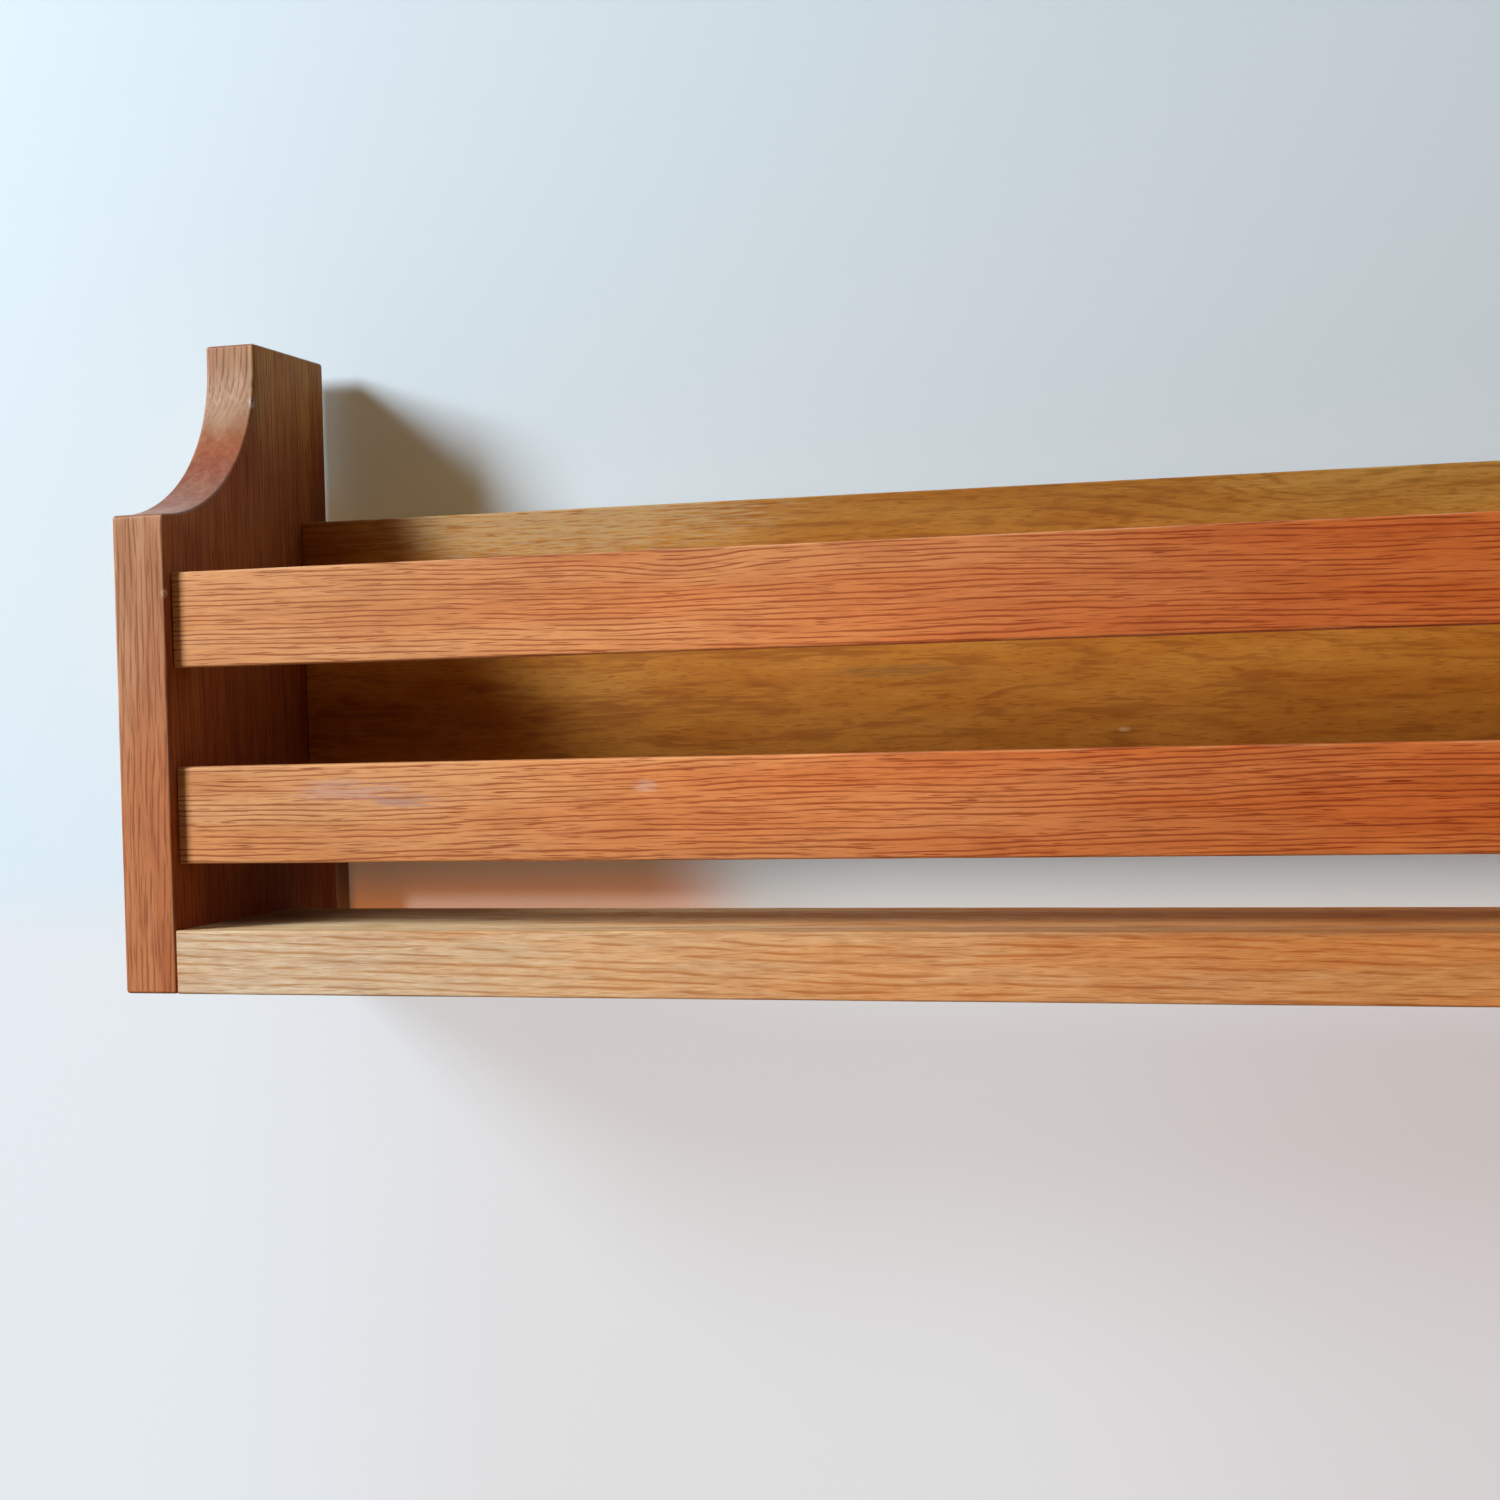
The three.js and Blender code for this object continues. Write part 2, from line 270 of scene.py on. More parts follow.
def pores(tree, own, place, wood):
    """The dark pore lines, and the strokes between them. They fade where a face cuts across the grain."""
    age = ring_age(tree, own, place, wood)
    band = calc(tree, "MULTIPLY", rise(tree, age, *PORES_OPEN), rise(tree, age, *PORES_CLOSE, 1.0, 0.0))
    lines = calc(tree, "MULTIPLY", band, shown(tree, place, wood, "line"))
    lines = calc(tree, "MULTIPLY", lines, wood["line_show"])
    strokes = calc(tree, "MULTIPLY", shown(tree, place, wood, "stroke"), wood["stroke_show"])
    grain_out = calc(tree, "ABSOLUTE", facing(tree, wood["grain_axis"]))
    kept = rise(tree, grain_out, *GRAIN_TURNS_OUT, 1.0, PORES_ON_ENDS)
    return calc(tree, "MULTIPLY", calc(tree, "MAXIMUM", lines, strokes), kept)


def run_of_fade_and_falloff(tree, own, place, wood):
    """0 at the pale end of a board, rising unevenly to 1 where its far colour is reached. The change is partly
    the wood's own colour and partly painted light, a fall of brightness along the board.
    """
    axis, start, end = wood["run"]
    along = add(tree, "SeparateXYZ", {0: own}).outputs[axis]
    uneven = swing(tree, layer(tree, place, wood, "fade_and_falloff"), wood["fade_and_falloff"] * MM)
    return rise(tree, calc(tree, "ADD", along, uneven), start * MM, end * MM)


def oak_surface(tree, wood):
    """Returns the colour, height and roughness of one board's oak, and the places to hang marks on."""
    own, place = log_place(tree, wood["turn"], wood["pith"])
    colour = tint(tree, shown(tree, place, wood, "drift"), wood["pale"], wood["deep"])
    # Partly painted light: the run of colour along a board also carries a fall of brightness.
    colour = tint(tree, run_of_fade_and_falloff(tree, own, place, wood), colour, wood["far"], "MULTIPLY")
    dark = pores(tree, own, place, wood)
    colour = tint(tree, dark, colour, wood["pore"], "MULTIPLY")
    for name in ("fibre", "mottle", "fleck"):
        strength = shown(tree, place, wood, name, 0.0, wood[name + "_show"])
        colour = tint(tree, strength, colour, wood[name + "_colour"], "MULTIPLY")
    relief = calc(tree, "MULTIPLY", layer(tree, place, wood, "fibre"), FIBRE_RELIEF)
    height = calc(tree, "ADD", calc(tree, "MULTIPLY", dark, -1.0), relief)
    sheen = shown(tree, place, wood, "sheen", wood["rough"] - SHEEN_SWING, wood["rough"] + SHEEN_SWING)
    rough = calc(tree, "ADD", sheen, calc(tree, "MULTIPLY", dark, PORE_ROUGH))
    return {"own": own, "place": place, "colour": colour, "height": height, "rough": rough}


print("Pores open and close between", PORES_OPEN[0], "and", PORES_CLOSE[1], "of a year's growth")

# %% [markdown]
# The faces of a board age differently. Its ends drink more varnish and go dark. One side gets painted shading:
# the back of a rail and of the back board and the inside of an end panel are darkened as painted shade, and
# the shelf's top, mostly in the rails' shadow, is painted paler and cooler. Hands rub the rounded arrises, and
# on the shelf and the end panels the arrises also get a dark line of painted shade. These could be painted by
# eye, but the surface normal tells the faces apart exactly. Marks come last: painted light, painted shade,
# places that sun has faded and rubs from plates.

# %% Age a board and paint its shading
END_FACES = (0.15, 0.9)
BLOTCH_LEAST = 0.72
SHADED_FACES = (0.4, 0.9)
WORN_AND_SHADED_CURVE = (0.3, 0.95)
MARK_EDGE = (0.1, 1.0)


def darken_ends(tree, surface, wood):
    """Darkens and mottles the faces that cut across the grain."""
    across = calc(tree, "ABSOLUTE", facing(tree, wood["grain_axis"]))
    blotch = shown(tree, surface["place"], wood, "blotch", BLOTCH_LEAST, 1.0)
    end = calc(tree, "MULTIPLY", rise(tree, across, *END_FACES), blotch)
    surface["colour"] = tint(tree, end, surface["colour"], wood["end"], "MULTIPLY")


def paint_shading_on_one_side(tree, surface, wood):
    """Paints shading into the colour of the side that the recipe names as shaded, and changes its shine."""
    axis, way = wood["shaded"]
    turned_in = rise(tree, calc(tree, "MULTIPLY", facing(tree, axis), way), *SHADED_FACES)
    duller = calc(tree, "MULTIPLY", turned_in, wood["shade_rough"])
    surface["rough"] = calc(tree, "ADD", surface["rough"], duller)
    surface["colour"] = tint(tree, turned_in, surface["colour"], wood["shade_colour"], "MULTIPLY")


def wear_and_shade_arrises(tree, surface, wood):
    """Lays the arris colour in patches, most where the surface faces halfway between two sides: rubbed paler
    on the rails and the back board, and a dark line of painted shade on the shelf and the end panels.
    """
    square = calc(tree, "POWER", calc(tree, "ABSOLUTE", facing(tree, wood["thin_axis"])), 2.0)
    turned = calc(tree, "MULTIPLY", calc(tree, "MULTIPLY", square, calc(tree, "SUBTRACT", 1.0, square)), 4.0)
    patchy = calc(tree, "MULTIPLY", shown(tree, surface["place"], wood, "arris_wear_and_shade"), wood["arris_wear_and_shade"])
    worn_and_shaded = calc(tree, "MULTIPLY", rise(tree, turned, *WORN_AND_SHADED_CURVE), patchy)
    surface["colour"] = tint(tree, worn_and_shaded, surface["colour"], wood["worn_and_shaded"])


def leave_marks(tree, surface, wood):
    """Lays the board's marks on it, painted light and painted shade among them, with edges that the grain
    breaks up.
    """
    for middle, reach, colour, strength, way, broken in wood["marks"].values():
        near = nearness(tree, surface["own"], middle, reach)
        ragged = swing(tree, layer(tree, surface["place"], wood, "mark"), broken)
        edge = calc(tree, "ADD", near, calc(tree, "MULTIPLY", ragged, near))
        patch = rise(tree, edge, *MARK_EDGE, 0.0, strength)
        surface["colour"] = tint(tree, patch, surface["colour"], colour, way)


AGEING_AND_SHADING = {
    "dark ends": darken_ends,
    "painted shading on one side": paint_shading_on_one_side,
    "rubbed and shaded arrises": wear_and_shade_arrises,
    "marks": leave_marks,
}
print("Age is laid on in this order:", ", ".join(AGEING_AND_SHADING))

# %% [markdown]
# The varnish is thin and satin: the pores still show as grooves, and no window is mirrored. A full clear coat
# over smooth wood would look like plastic. So the wood's own shine is low, only a trace of coat lies over it,
# and a bump presses the pores in and raises the fibre.

# %% Varnish it
BUMP_STRENGTH = 0.6
WOOD_SHINE = 0.2
COAT = 0.08
COAT_ROUGH = 0.36


def varnish(tree, surface, wood):
    relief = {"Height": surface["height"], "Strength": BUMP_STRENGTH, "Distance": wood["pore_depth"] * MM}
    shader = add(tree, "BsdfPrincipled", {
        "Base Color": surface["colour"],
        "Roughness": surface["rough"],
        "Normal": add(tree, "Bump", relief).outputs[0],
        "Specular IOR Level": WOOD_SHINE,
        "Coat Weight": COAT,
        "Coat Roughness": COAT_ROUGH,
    })
    add(tree, "OutputMaterial", {"Surface": shader.outputs[0]})


def oak_finish(name, wood):
    material, tree = new_tree(name)
    surface = oak_surface(tree, wood)
    for step in AGEING_AND_SHADING.values():
        step(tree, surface, wood)
    varnish(tree, surface, wood)
    return material


print("The coat has", COAT, "of its full weight")

# %% [markdown]
# The rack's six boards are four kinds of oak, which is half of its charm. Each board could have a finish of
# its own, but then every change would be made six times. One recipe with a few dozen numbers keeps them
# related, and each board changes only what differs. A size is millimetres along and across the grain, a
# share is the two levels of noise between which a layer appears, and a show is its strength.

# %% The recipe that all the boards share
OAK = {
    "turn": (0, 0, 0),
    "grain_axis": 0,
    "thin_axis": 1,
    "taper": 0.012,
    "sway": 1.6,
    "sway_size": (170, 38),
    "ripple": 0.4,
    "ripple_size": (30, 5),
    "figures": (),
    "drift_size": (120, 12),
    "drift_share": (0.36, 0.64),
    "far": (1, 1, 1),
    "run": (0, -420, 20),
    "fade_and_falloff": 30,
    "fade_and_falloff_size": (90, 14),
    "line_size": (30, 1.3),
    "line_share": (0.4, 0.55),
    "line_show": 0.9,
    "stroke_size": (20, 0.55),
    "stroke_share": (0.54, 0.68),
    "stroke_show": 0.6,
    "pore_depth": 0.07,
    "fibre_size": (6, 0.35),
    "fibre_share": (0.3, 0.7),
    "fibre_show": 0.3,
    "fibre_colour": (0.6, 0.5, 0.42),
    "mottle_size": (24, 5),
    "mottle_share": (0.4, 0.66),
    "mottle_show": 0.5,
    "mottle_colour": (0.8, 0.72, 0.68),
    "fleck_size": (9, 1),
    "fleck_share": (0.56, 0.68),
    "fleck_show": 0.0,
    "fleck_colour": (1, 1, 1),
    "rough": 0.44,
    "sheen_size": (60, 14),
    "sheen_share": (0.3, 0.7),
    "end": (0.66, 0.55, 0.5),
    "blotch_size": (3, 1.6),
    "blotch_share": (0.36, 0.64),
    # The shaded side, the back of a board, gets painted shade in its colour.
    "shaded": (1, 1),
    "shade_colour": (0.9, 0.84, 0.78),
    "shade_rough": 0.0,
    "arris_wear_and_shade": 0.5,
    "arris_wear_and_shade_size": (26, 60),
    "arris_wear_and_shade_share": (0.42, 0.62),
    "mark_size": (12, 0.7),
    "marks": {},
}
print("The shared recipe has", len(OAK), "entries")

# %% [markdown]
# The two rails are orange red with long straight pores, because their pith lies far off and the rings cross
# the face as lines. One arched figure shows in the upper rail. Painted light brightens the left half of both
# fronts, and the lower one has been scuffed. A mark could be painted on an unwrapped picture. Here it is a
# place on the rack, which stays sharp and is easy to shift: its middle and its reach in millimetres, a colour,
# a strength, a way to mix, and how much the grain breaks its edge.

# %% Recipes for the two rails
# Painted light: a brighter stretch over the left half of each rail's front.
PAINTED_LIGHT_ON_RAILS = ((-226, -58, 95), (215, 12, 90), (1.2, 1.12, 1.0), 1.0, "MULTIPLY", 0.0)
RAIL_OAK = {
    **OAK,
    "ring": 1.5,
    "pale": (0.86, 0.44, 0.19),
    "deep": (0.81, 0.35, 0.13),
    "far": (0.9, 0.46, 0.24),
    "pore": (0.44, 0.2, 0.08),
    "line_size": (34, 1.3),
    "line_share": (0.36, 0.52),
    "line_show": 0.8,
    "stroke_size": (13, 0.36),
    "stroke_share": (0.6, 0.7),
    "stroke_show": 0.95,
    "worn_and_shaded": (0.82, 0.46, 0.22),
    "marks": {"painted light on front": PAINTED_LIGHT_ON_RAILS},
}
UPPER_RAIL_OAK = {
    **RAIL_OAK,
    "pith": (0, 20, 10),
    "figures": (((-247, -56.8, 139), (34, 20, 9), 2.6),),
}
LOWER_RAIL_OAK = {
    **RAIL_OAK,
    "pith": (900, 10, -40),
    "taper": -0.014,
    "far": (0.95, 0.5, 0.26),
    "marks": {
        "painted light on front": PAINTED_LIGHT_ON_RAILS,
        "brown scuff": ((-366, -58, 69), (36, 9, 6), (0.62, 0.36, 0.29), 0.6, "MIX", 1.6),
        "grey scuff": ((-344, -58, 65), (24, 9, 4), (0.46, 0.27, 0.25), 0.6, "MIX", 1.6),
        "pale spot": ((-260, -58, 68.3), (7, 9, 4), (0.9, 0.6, 0.48), 0.4, "MIX", 1.2),
    },
}
print("Lower rail's marks:", ", ".join(LOWER_RAIL_OAK["marks"]))

# %% [markdown]
# The back board is olive brown, and its pith lies behind it, so its rings make arches on the face. It could
# be one even brown, but in the rack parts of its top have faded, painted shade darkens its top strip and its
# left corners, and plates have left a streak and a rub.

# %% Recipe for the back board
BOARD_OAK = {
    **OAK,
    "pith": (300, 105, 92),
    "ring": 3.0,
    "taper": 0.035,
    "sway": 3.4,
    "ripple": 0.9,
    "drift_size": (60, 9),
    "figures": (((-52, 40, 166), (40, 20, 14), 5.0),),
    "pale": (0.68, 0.315, 0.052),
    "deep": (0.6, 0.245, 0.032),
    "far": (0.88, 0.76, 0.6),
    "pore": (0.56, 0.4, 0.24),
    "line_size": (22, 1.3),
    "line_show": 0.55,
    "stroke_size": (6, 0.8),
    "stroke_show": 0.45,
    "mottle_size": (10, 2.4),
    "mottle_show": 0.4,
    "worn_and_shaded": (0.6, 0.36, 0.12),
    "marks": {
        # Painted shade: the top strip and the two left corners are darkened where shade falls.
        "painted shade on top strip": ((0, 40, 172), (900, 30, 42), (0.78, 0.8, 0.84), 1.0, "MULTIPLY", 0.0),
        "faded left": ((-330, 40, 168), (150, 30, 34), (0.62, 0.44, 0.22), 0.6, "MIX", 1.4),
        "faded middle": ((0, 40, 168), (170, 30, 34), (1.18, 1.5, 2.3), 1.0, "MULTIPLY", 0.4),
        "painted shade in low left corner": ((-400, 40, 80), (120, 30, 60), (0.72, 0.55, 0.3), 1.0, "MULTIPLY", 0.0),
        "brown beside it": ((-250, 40, 95), (110, 30, 40), (0.92, 0.84, 0.76), 1.0, "MULTIPLY", 0.0),
        "painted shade in high left corner": ((-430, 40, 150), (60, 30, 40), (0.65, 0.5, 0.3), 1.0, "MULTIPLY", 0.0),
        "dark streak": ((-196, 40, 105), (44, 20, 4), (0.28, 0.13, 0.03), 0.7, "MIX", 1.2),
        "pale rub": ((-117.3, 40, 82.4), (4, 9, 1.6), (0.85, 0.6, 0.3), 0.5, "MIX", 0.6),
    },
}
print("Back board's marks:", ", ".join(BOARD_OAK["marks"]))

# %% [markdown]
# The shelf is a pale tan board with short pores and many pale flecks. Painted light brightens the left half of
# its front, and painted shade darkens its top's front strip, the arris there and its left corner. The top
# could share the front's finish, but a top that plates rub is rougher.

# %% Recipe for the shelf
SHELF_OAK = {
    **OAK,
    "thin_axis": 2,
    "pith": (-500, -30, -55),
    "ring": 2.6,
    "taper": 0.02,
    "ripple": 0.6,
    "pale": (0.84, 0.63, 0.42),
    "deep": (0.84, 0.53, 0.29),
    "far": (1.06, 0.62, 0.3),
    "pore": (0.7, 0.5, 0.33),
    # The top is the shaded side here: it lies mostly in the rails' shadow, and its painted shading is paler
    # and cooler.
    "shaded": (2, 1),
    "shade_colour": (1.04, 1.12, 1.02),
    "shade_rough": 0.3,
    "line_size": (20, 1.3),
    "line_share": (0.38, 0.56),
    "stroke_size": (9, 0.5),
    "stroke_share": (0.52, 0.68),
    "mottle_size": (20, 3),
    "fleck_size": (11, 0.8),
    "fleck_show": 0.9,
    "fleck_colour": (1.06, 1.2, 1.36),
    # The arris colour is dark: a line of painted shade along the rounded arris.
    "worn_and_shaded": (0.42, 0.25, 0.13),
    "arris_wear_and_shade": 0.45,
    "marks": {
        # Painted shade on the top's front strip, its arris and the left corner, and painted light on the
        # front.
        "painted shade on top's front strip": ((-60, -52, 22.5), (390, 30, 4), (0.62, 0.62, 0.72), 1.0, "MULTIPLY", 0.2),
        "painted light on front": ((-220, -62.5, 8), (215, 10, 60), (1.1, 1.09, 1.0), 1.0, "MULTIPLY", 0.0),
        "painted shade in left corner": ((-430, -10, 22), (80, 70, 8), (0.22, 0.13, 0.07), 1.0, "MULTIPLY", 0.0),
    },
}
print("Shelf's marks:", ", ".join(SHELF_OAK["marks"]))

# %% [markdown]
# The end panels are reddish, and their grain stands upright, so the log is turned a quarter. One recipe
# could serve both, but each panel's side that looks into the rack is darkened with painted shade, and only
# the left one's marks are known: a greyed ear, a red stretch down the scoop that is partly painted shade,
# a painted sheen at the scoop's foot, painted light high on the inside and painted shade low on it, and
# bare wood in its chips.

# %% Recipes for the two end panels
UPRIGHT = (0, math.pi / 2, 0)
PANEL_OAK = {
    **OAK,
    "turn": UPRIGHT,
    "grain_axis": 2,
    "thin_axis": 0,
    "ring": 1.7,
    "taper": 0.01,
    "ripple": 0.35,
    "fibre_show": 0.2,
    "pale": (0.64, 0.25, 0.105),
    "deep": (0.54, 0.18, 0.066),
    "far": (0.92, 1.2, 1.5),
    "run": (2, 40, 165),
    "pore": (0.55, 0.38, 0.26),
    "line_size": (22, 1.3),
    "line_show": 0.8,
    "stroke_size": (16, 0.6),
    "stroke_show": 0.7,
    "drift_size": (90, 6),
    "end": (0.5, 0.34, 0.35),
    # Painted shade: the inside of each panel is darkened and reddened.
    "shade_colour": (0.68, 0.4, 0.14),
    "shade_rough": 0.3,
    # The arris colour is dark: a line of painted shade along the rounded arrises.
    "worn_and_shaded": (0.26, 0.11, 0.07),
    "arris_wear_and_shade": 0.85,
}
LEFT_PANEL_OAK = {
    **PANEL_OAK,
    "pith": (0, -330, 120),
    "shaded": (0, 1),
    "marks": {
        "greyed ear": ((-440, 6, 208), (30, 16, 48), (0.86, 1.06, 1.22), 1.0, "MULTIPLY", 0.3),
        # The red scoop is partly the wood's colour and partly painted shade over a sheen; below come a painted
        # sheen, painted light high on the inside and painted shade at its foot.
        "red scoop with painted shade": ((-440, -8, 189), (30, 26, 26), (0.92, 0.68, 0.6), 1.0, "MULTIPLY", 0.5),
        "painted sheen on scoop foot": ((-440, -48, 167), (30, 24, 12), (1.2, 1.45, 1.55), 1.0, "MULTIPLY", 0.0),
        "painted light on inner top": ((-430, 34, 232), (5, 80, 66), (1.3, 1.9, 2.0), 1.0, "MULTIPLY", 0.3),
        "painted shade on inner foot": ((-430, 10, 50), (5, 120, 110), (0.62, 0.58, 0.32), 1.0, "MULTIPLY", 0.0),
        "front chip": ((-430.3, -62, 137.6), (2.4, 2.4, 2.6), (0.9, 0.64, 0.44), 0.9, "MIX", 0.4),
        "scoop chip": ((-430.6, 4, 211), (1.8, 3, 4), (0.66, 0.56, 0.52), 0.8, "MIX", 0.8),
    },
}
RIGHT_PANEL_OAK = {**PANEL_OAK, "pith": (500, -360, -150), "shaded": (0, -1)}
finishes = {
    "upper_rail": oak_finish("upper_rail_oak", UPPER_RAIL_OAK),
    "lower_rail": oak_finish("lower_rail_oak", LOWER_RAIL_OAK),
    "back_board": oak_finish("back_board_oak", BOARD_OAK),
    "shelf": oak_finish("shelf_oak", SHELF_OAK),
    "left_end_panel": oak_finish("left_panel_oak", LEFT_PANEL_OAK),
    "right_end_panel": oak_finish("right_panel_oak", RIGHT_PANEL_OAK),
}
print("Oak finishes:", ", ".join(finishes))

# %% [markdown]
# The dowels are bare beech, which is plain and pale with tiny darker flecks, and the hangers are zinc plated
# steel gone dull. Both could be one flat colour, because they hardly show, but a part that is turned round in
# the hand is seen from the back too.

# %% Finishes for the dowels and the hangers
BEECH = ((0.66, 0.42, 0.22), (0.54, 0.31, 0.15))
BEECH_DRIFT = (30, 3)
BEECH_FLECK = (0.32, 0.16, 0.07)
BEECH_FLECK_NOISE = (2.5, 0.35, 0.0, 4.0)
BEECH_FLECK_RISE = (0.62, 0.7, 0.0, 0.6)
BEECH_RELIEF = 0.03 * MM
ZINC_PLATE = ((0.62, 0.61, 0.58), (0.42, 0.4, 0.36))
ZINC_SCREW = ((0.5, 0.48, 0.45), (0.3, 0.28, 0.25))
ZINC_RELIEF = 0.02 * MM
DULL_NOISE = (2.2, 2.2, 4.0)
DULL_SHARE = (0.35, 0.65)
DULL_ROUGH = 0.22
SCRATCH_NOISE = (3.0, 0.12, 1.0, 9.0)


def small_finish(name):
    """Starts a finish with places in millimetres, and with no turn."""
    material, tree = new_tree(name)
    return material, tree, log_place(tree, (0, 0, 0), (0, 0, 0))[1]


def beech_finish():
    material, tree, place = small_finish("bare_beech")
    colour = tint(tree, streaks(tree, place, *BEECH_DRIFT), *BEECH)
    flecks = rise(tree, streaks(tree, place, *BEECH_FLECK_NOISE), *BEECH_FLECK_RISE)
    colour = tint(tree, flecks, colour, BEECH_FLECK)
    bump = add(tree, "Bump", {"Height": flecks, "Strength": 0.4, "Distance": BEECH_RELIEF})
    shader = add(tree, "BsdfPrincipled", {"Base Color": colour, "Roughness": 0.68, "Normal": bump.outputs[0]})
    add(tree, "OutputMaterial", {"Surface": shader.outputs[0]})
    return material


def steel_finish(name, colours, rough):
    material, tree, place = small_finish(name)
    dull = rise(tree, streaks(tree, place, *DULL_NOISE), *DULL_SHARE)
    scratch = streaks(tree, place, *SCRATCH_NOISE)
    bump = add(tree, "Bump", {"Height": scratch, "Strength": 0.25, "Distance": ZINC_RELIEF})
    shader = add(tree, "BsdfPrincipled", {
        "Base Color": tint(tree, dull, *colours),
        "Metallic": 1.0,
        "Roughness": calc(tree, "ADD", calc(tree, "MULTIPLY", dull, DULL_ROUGH), rough),
        "Normal": bump.outputs[0],
    })
    add(tree, "OutputMaterial", {"Surface": shader.outputs[0]})
    return material


finishes["dowel"] = beech_finish()
finishes["hanger"] = steel_finish("dull_zinc_plate", ZINC_PLATE, 0.3)
finishes["screw"] = steel_finish("dull_zinc_screw", ZINC_SCREW, 0.28)
print("Small finishes: dowel, hanger, screw")

# %% [markdown]
# A board starts as a squared blank. In Blender that is a cube, scaled between two corners and with its scale
# applied, so that its place is in its mesh. Helpers for choosing one object and for applying a modifier save
# repeating the same three lines for each board.

# %% Saw the blanks
def pick(piece):
    """Makes this piece the only one selected, and the active one."""
    bpy.ops.object.select_all(action="DESELECT")
    piece.select_set(True)
    bpy.context.view_layer.objects.active = piece


def settle(piece):
    """Puts the piece's place, turn and scale into its mesh."""
    pick(piece)
    bpy.ops.object.transform_apply(location=True, rotation=True, scale=True)
    return piece


def blank(name, low, high):
    bpy.ops.object.select_all(action="DESELECT")
    bpy.ops.mesh.primitive_cube_add(size=1, location=(low + high) / 2)
    piece = bpy.context.object
    piece.name = name
    piece.scale = high - low
    return settle(piece)


def shape_with(piece, kind, **settings):
    """Adds one modifier to the piece, sets it and applies it."""
    pick(piece)
    bpy.ops.object.modifier_add(type=kind)
    modifier = piece.modifiers[-1]
    for name, value in settings.items():
        setattr(modifier, name, value)
    bpy.ops.object.modifier_apply(modifier=modifier.name)


def cut_with(piece, cutter):
    shape_with(piece, "BOOLEAN", operation="DIFFERENCE", solver="EXACT", object=cutter)


def discard(*tools):
    for tool in tools:
        bpy.data.objects.remove(tool)


print("Helpers are ready: pick, settle, blank, shape_with, cut_with and discard")

# %% [markdown]
# No arris on a finished board is sharp, and a sharp one in a model catches no light. Rounding could be left
# to a shader trick that only bends the normal, but then the outline would stay sharp. A Bevel modifier rounds
# the mesh at every edge sharper than an angle. Where only some edges are round, as on a plank whose sawn ends
# butt against the panels, the ones that run along one axis are picked and bevelled in edit mode.

# %% Ease the arrises
ARRIS = 0.9 * MM
PANEL_ARRIS = 1.6 * MM
ARRIS_STEPS = 3
SMOOTH_ANGLE = math.radians(32)
MOSTLY = 0.9


def ease(piece, width=ARRIS, steps=ARRIS_STEPS):
    """Rounds every sharp arris of a piece."""
    shape_with(piece, "BEVEL", width=width, segments=steps, limit_method="ANGLE", angle_limit=SMOOTH_ANGLE)


def round_edges(piece, axis, radius, steps):
    """Rounds only the edges that run along one axis."""
    pick(piece)
    bpy.ops.object.mode_set(mode="EDIT")
    bpy.ops.mesh.select_mode(type="EDGE")
    bpy.ops.mesh.select_all(action="DESELECT")
    shape = bmesh.from_edit_mesh(piece.data)
    for edge in shape.edges:
        run = edge.verts[1].co - edge.verts[0].co
        edge.select_set(abs(run[axis]) > MOSTLY * run.length)
    bmesh.update_edit_mesh(piece.data)
    bpy.ops.mesh.bevel(offset=radius, segments=steps, affect="EDGES")
    bpy.ops.object.mode_set(mode="OBJECT")


print("Arrises are", *in_mm((ARRIS, PANEL_ARRIS)), "mm, on planks and on end panels")

# %% [markdown]
# No hand-finished board is quite flat. The waves could be sculpted, but each board would need it again. So
# the board is bisected into short slices, and a Displace modifier with slow cloud noise lowers them by up to
# a fifth of a millimetre. It only ever lowers them, so the board stays inside its CAD box. A weighted normal
# at the end keeps the wide faces flat to the eye and the shine on the arris narrow.

# %% Plane the faces
UNEVEN = 0.2 * MM
UNEVEN_SPREAD = 45 * MM
SLICE = 9 * MM
SLIVER = 0.05 * MM
FLATNESS_WEIGHT = 80


def slice_along(piece, axis, low, high):
    """Bisects the piece square to one axis, at even steps between two places."""
    square = Vector((0, 0, 0))
    square[axis] = 1
    count = max(1, round((high - low) / SLICE))
    pick(piece)
    bpy.ops.object.mode_set(mode="EDIT")
    for step in range(1, count):
        bpy.ops.mesh.select_all(action="SELECT")
        bpy.ops.mesh.bisect(plane_co=square * (low + (high - low) * step / count), plane_no=square)
    bpy.ops.mesh.select_all(action="SELECT")
    bpy.ops.mesh.remove_doubles(threshold=SLIVER)
    bpy.ops.object.mode_set(mode="OBJECT")


def plane_by_hand(piece):
    clouds = bpy.data.textures.new(piece.name + "_unevenness", "CLOUDS")
    clouds.noise_scale = UNEVEN_SPREAD
    shape_with(piece, "DISPLACE", texture=clouds, strength=UNEVEN, mid_level=1.0, texture_coords="LOCAL")


def polish(piece, finish):
    pick(piece)
    bpy.ops.object.shade_smooth_by_angle(angle=SMOOTH_ANGLE)
    shape_with(piece, "WEIGHTED_NORMAL", keep_sharp=True, weight=FLATNESS_WEIGHT)
    piece.data.materials.clear()
    piece.data.materials.append(finish)


print("Slices are", round(SLICE / MM), "mm long and waves up to", round(UNEVEN / MM, 1), "mm deep")

# %% [markdown]
# Dowels cross from each board's end into the panel beside it, so both need the same hole. The holes could be
# bored one by one. It is quicker to stand all the drill bits in place at once, as one joined cutter, and to
# take it away from every board. The frame knows where the dowels are.

# %% Set the drill bits
DOWEL_GAP = 0.3 * MM
dowel_names = sorted(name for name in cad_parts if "_dowel_" in name)


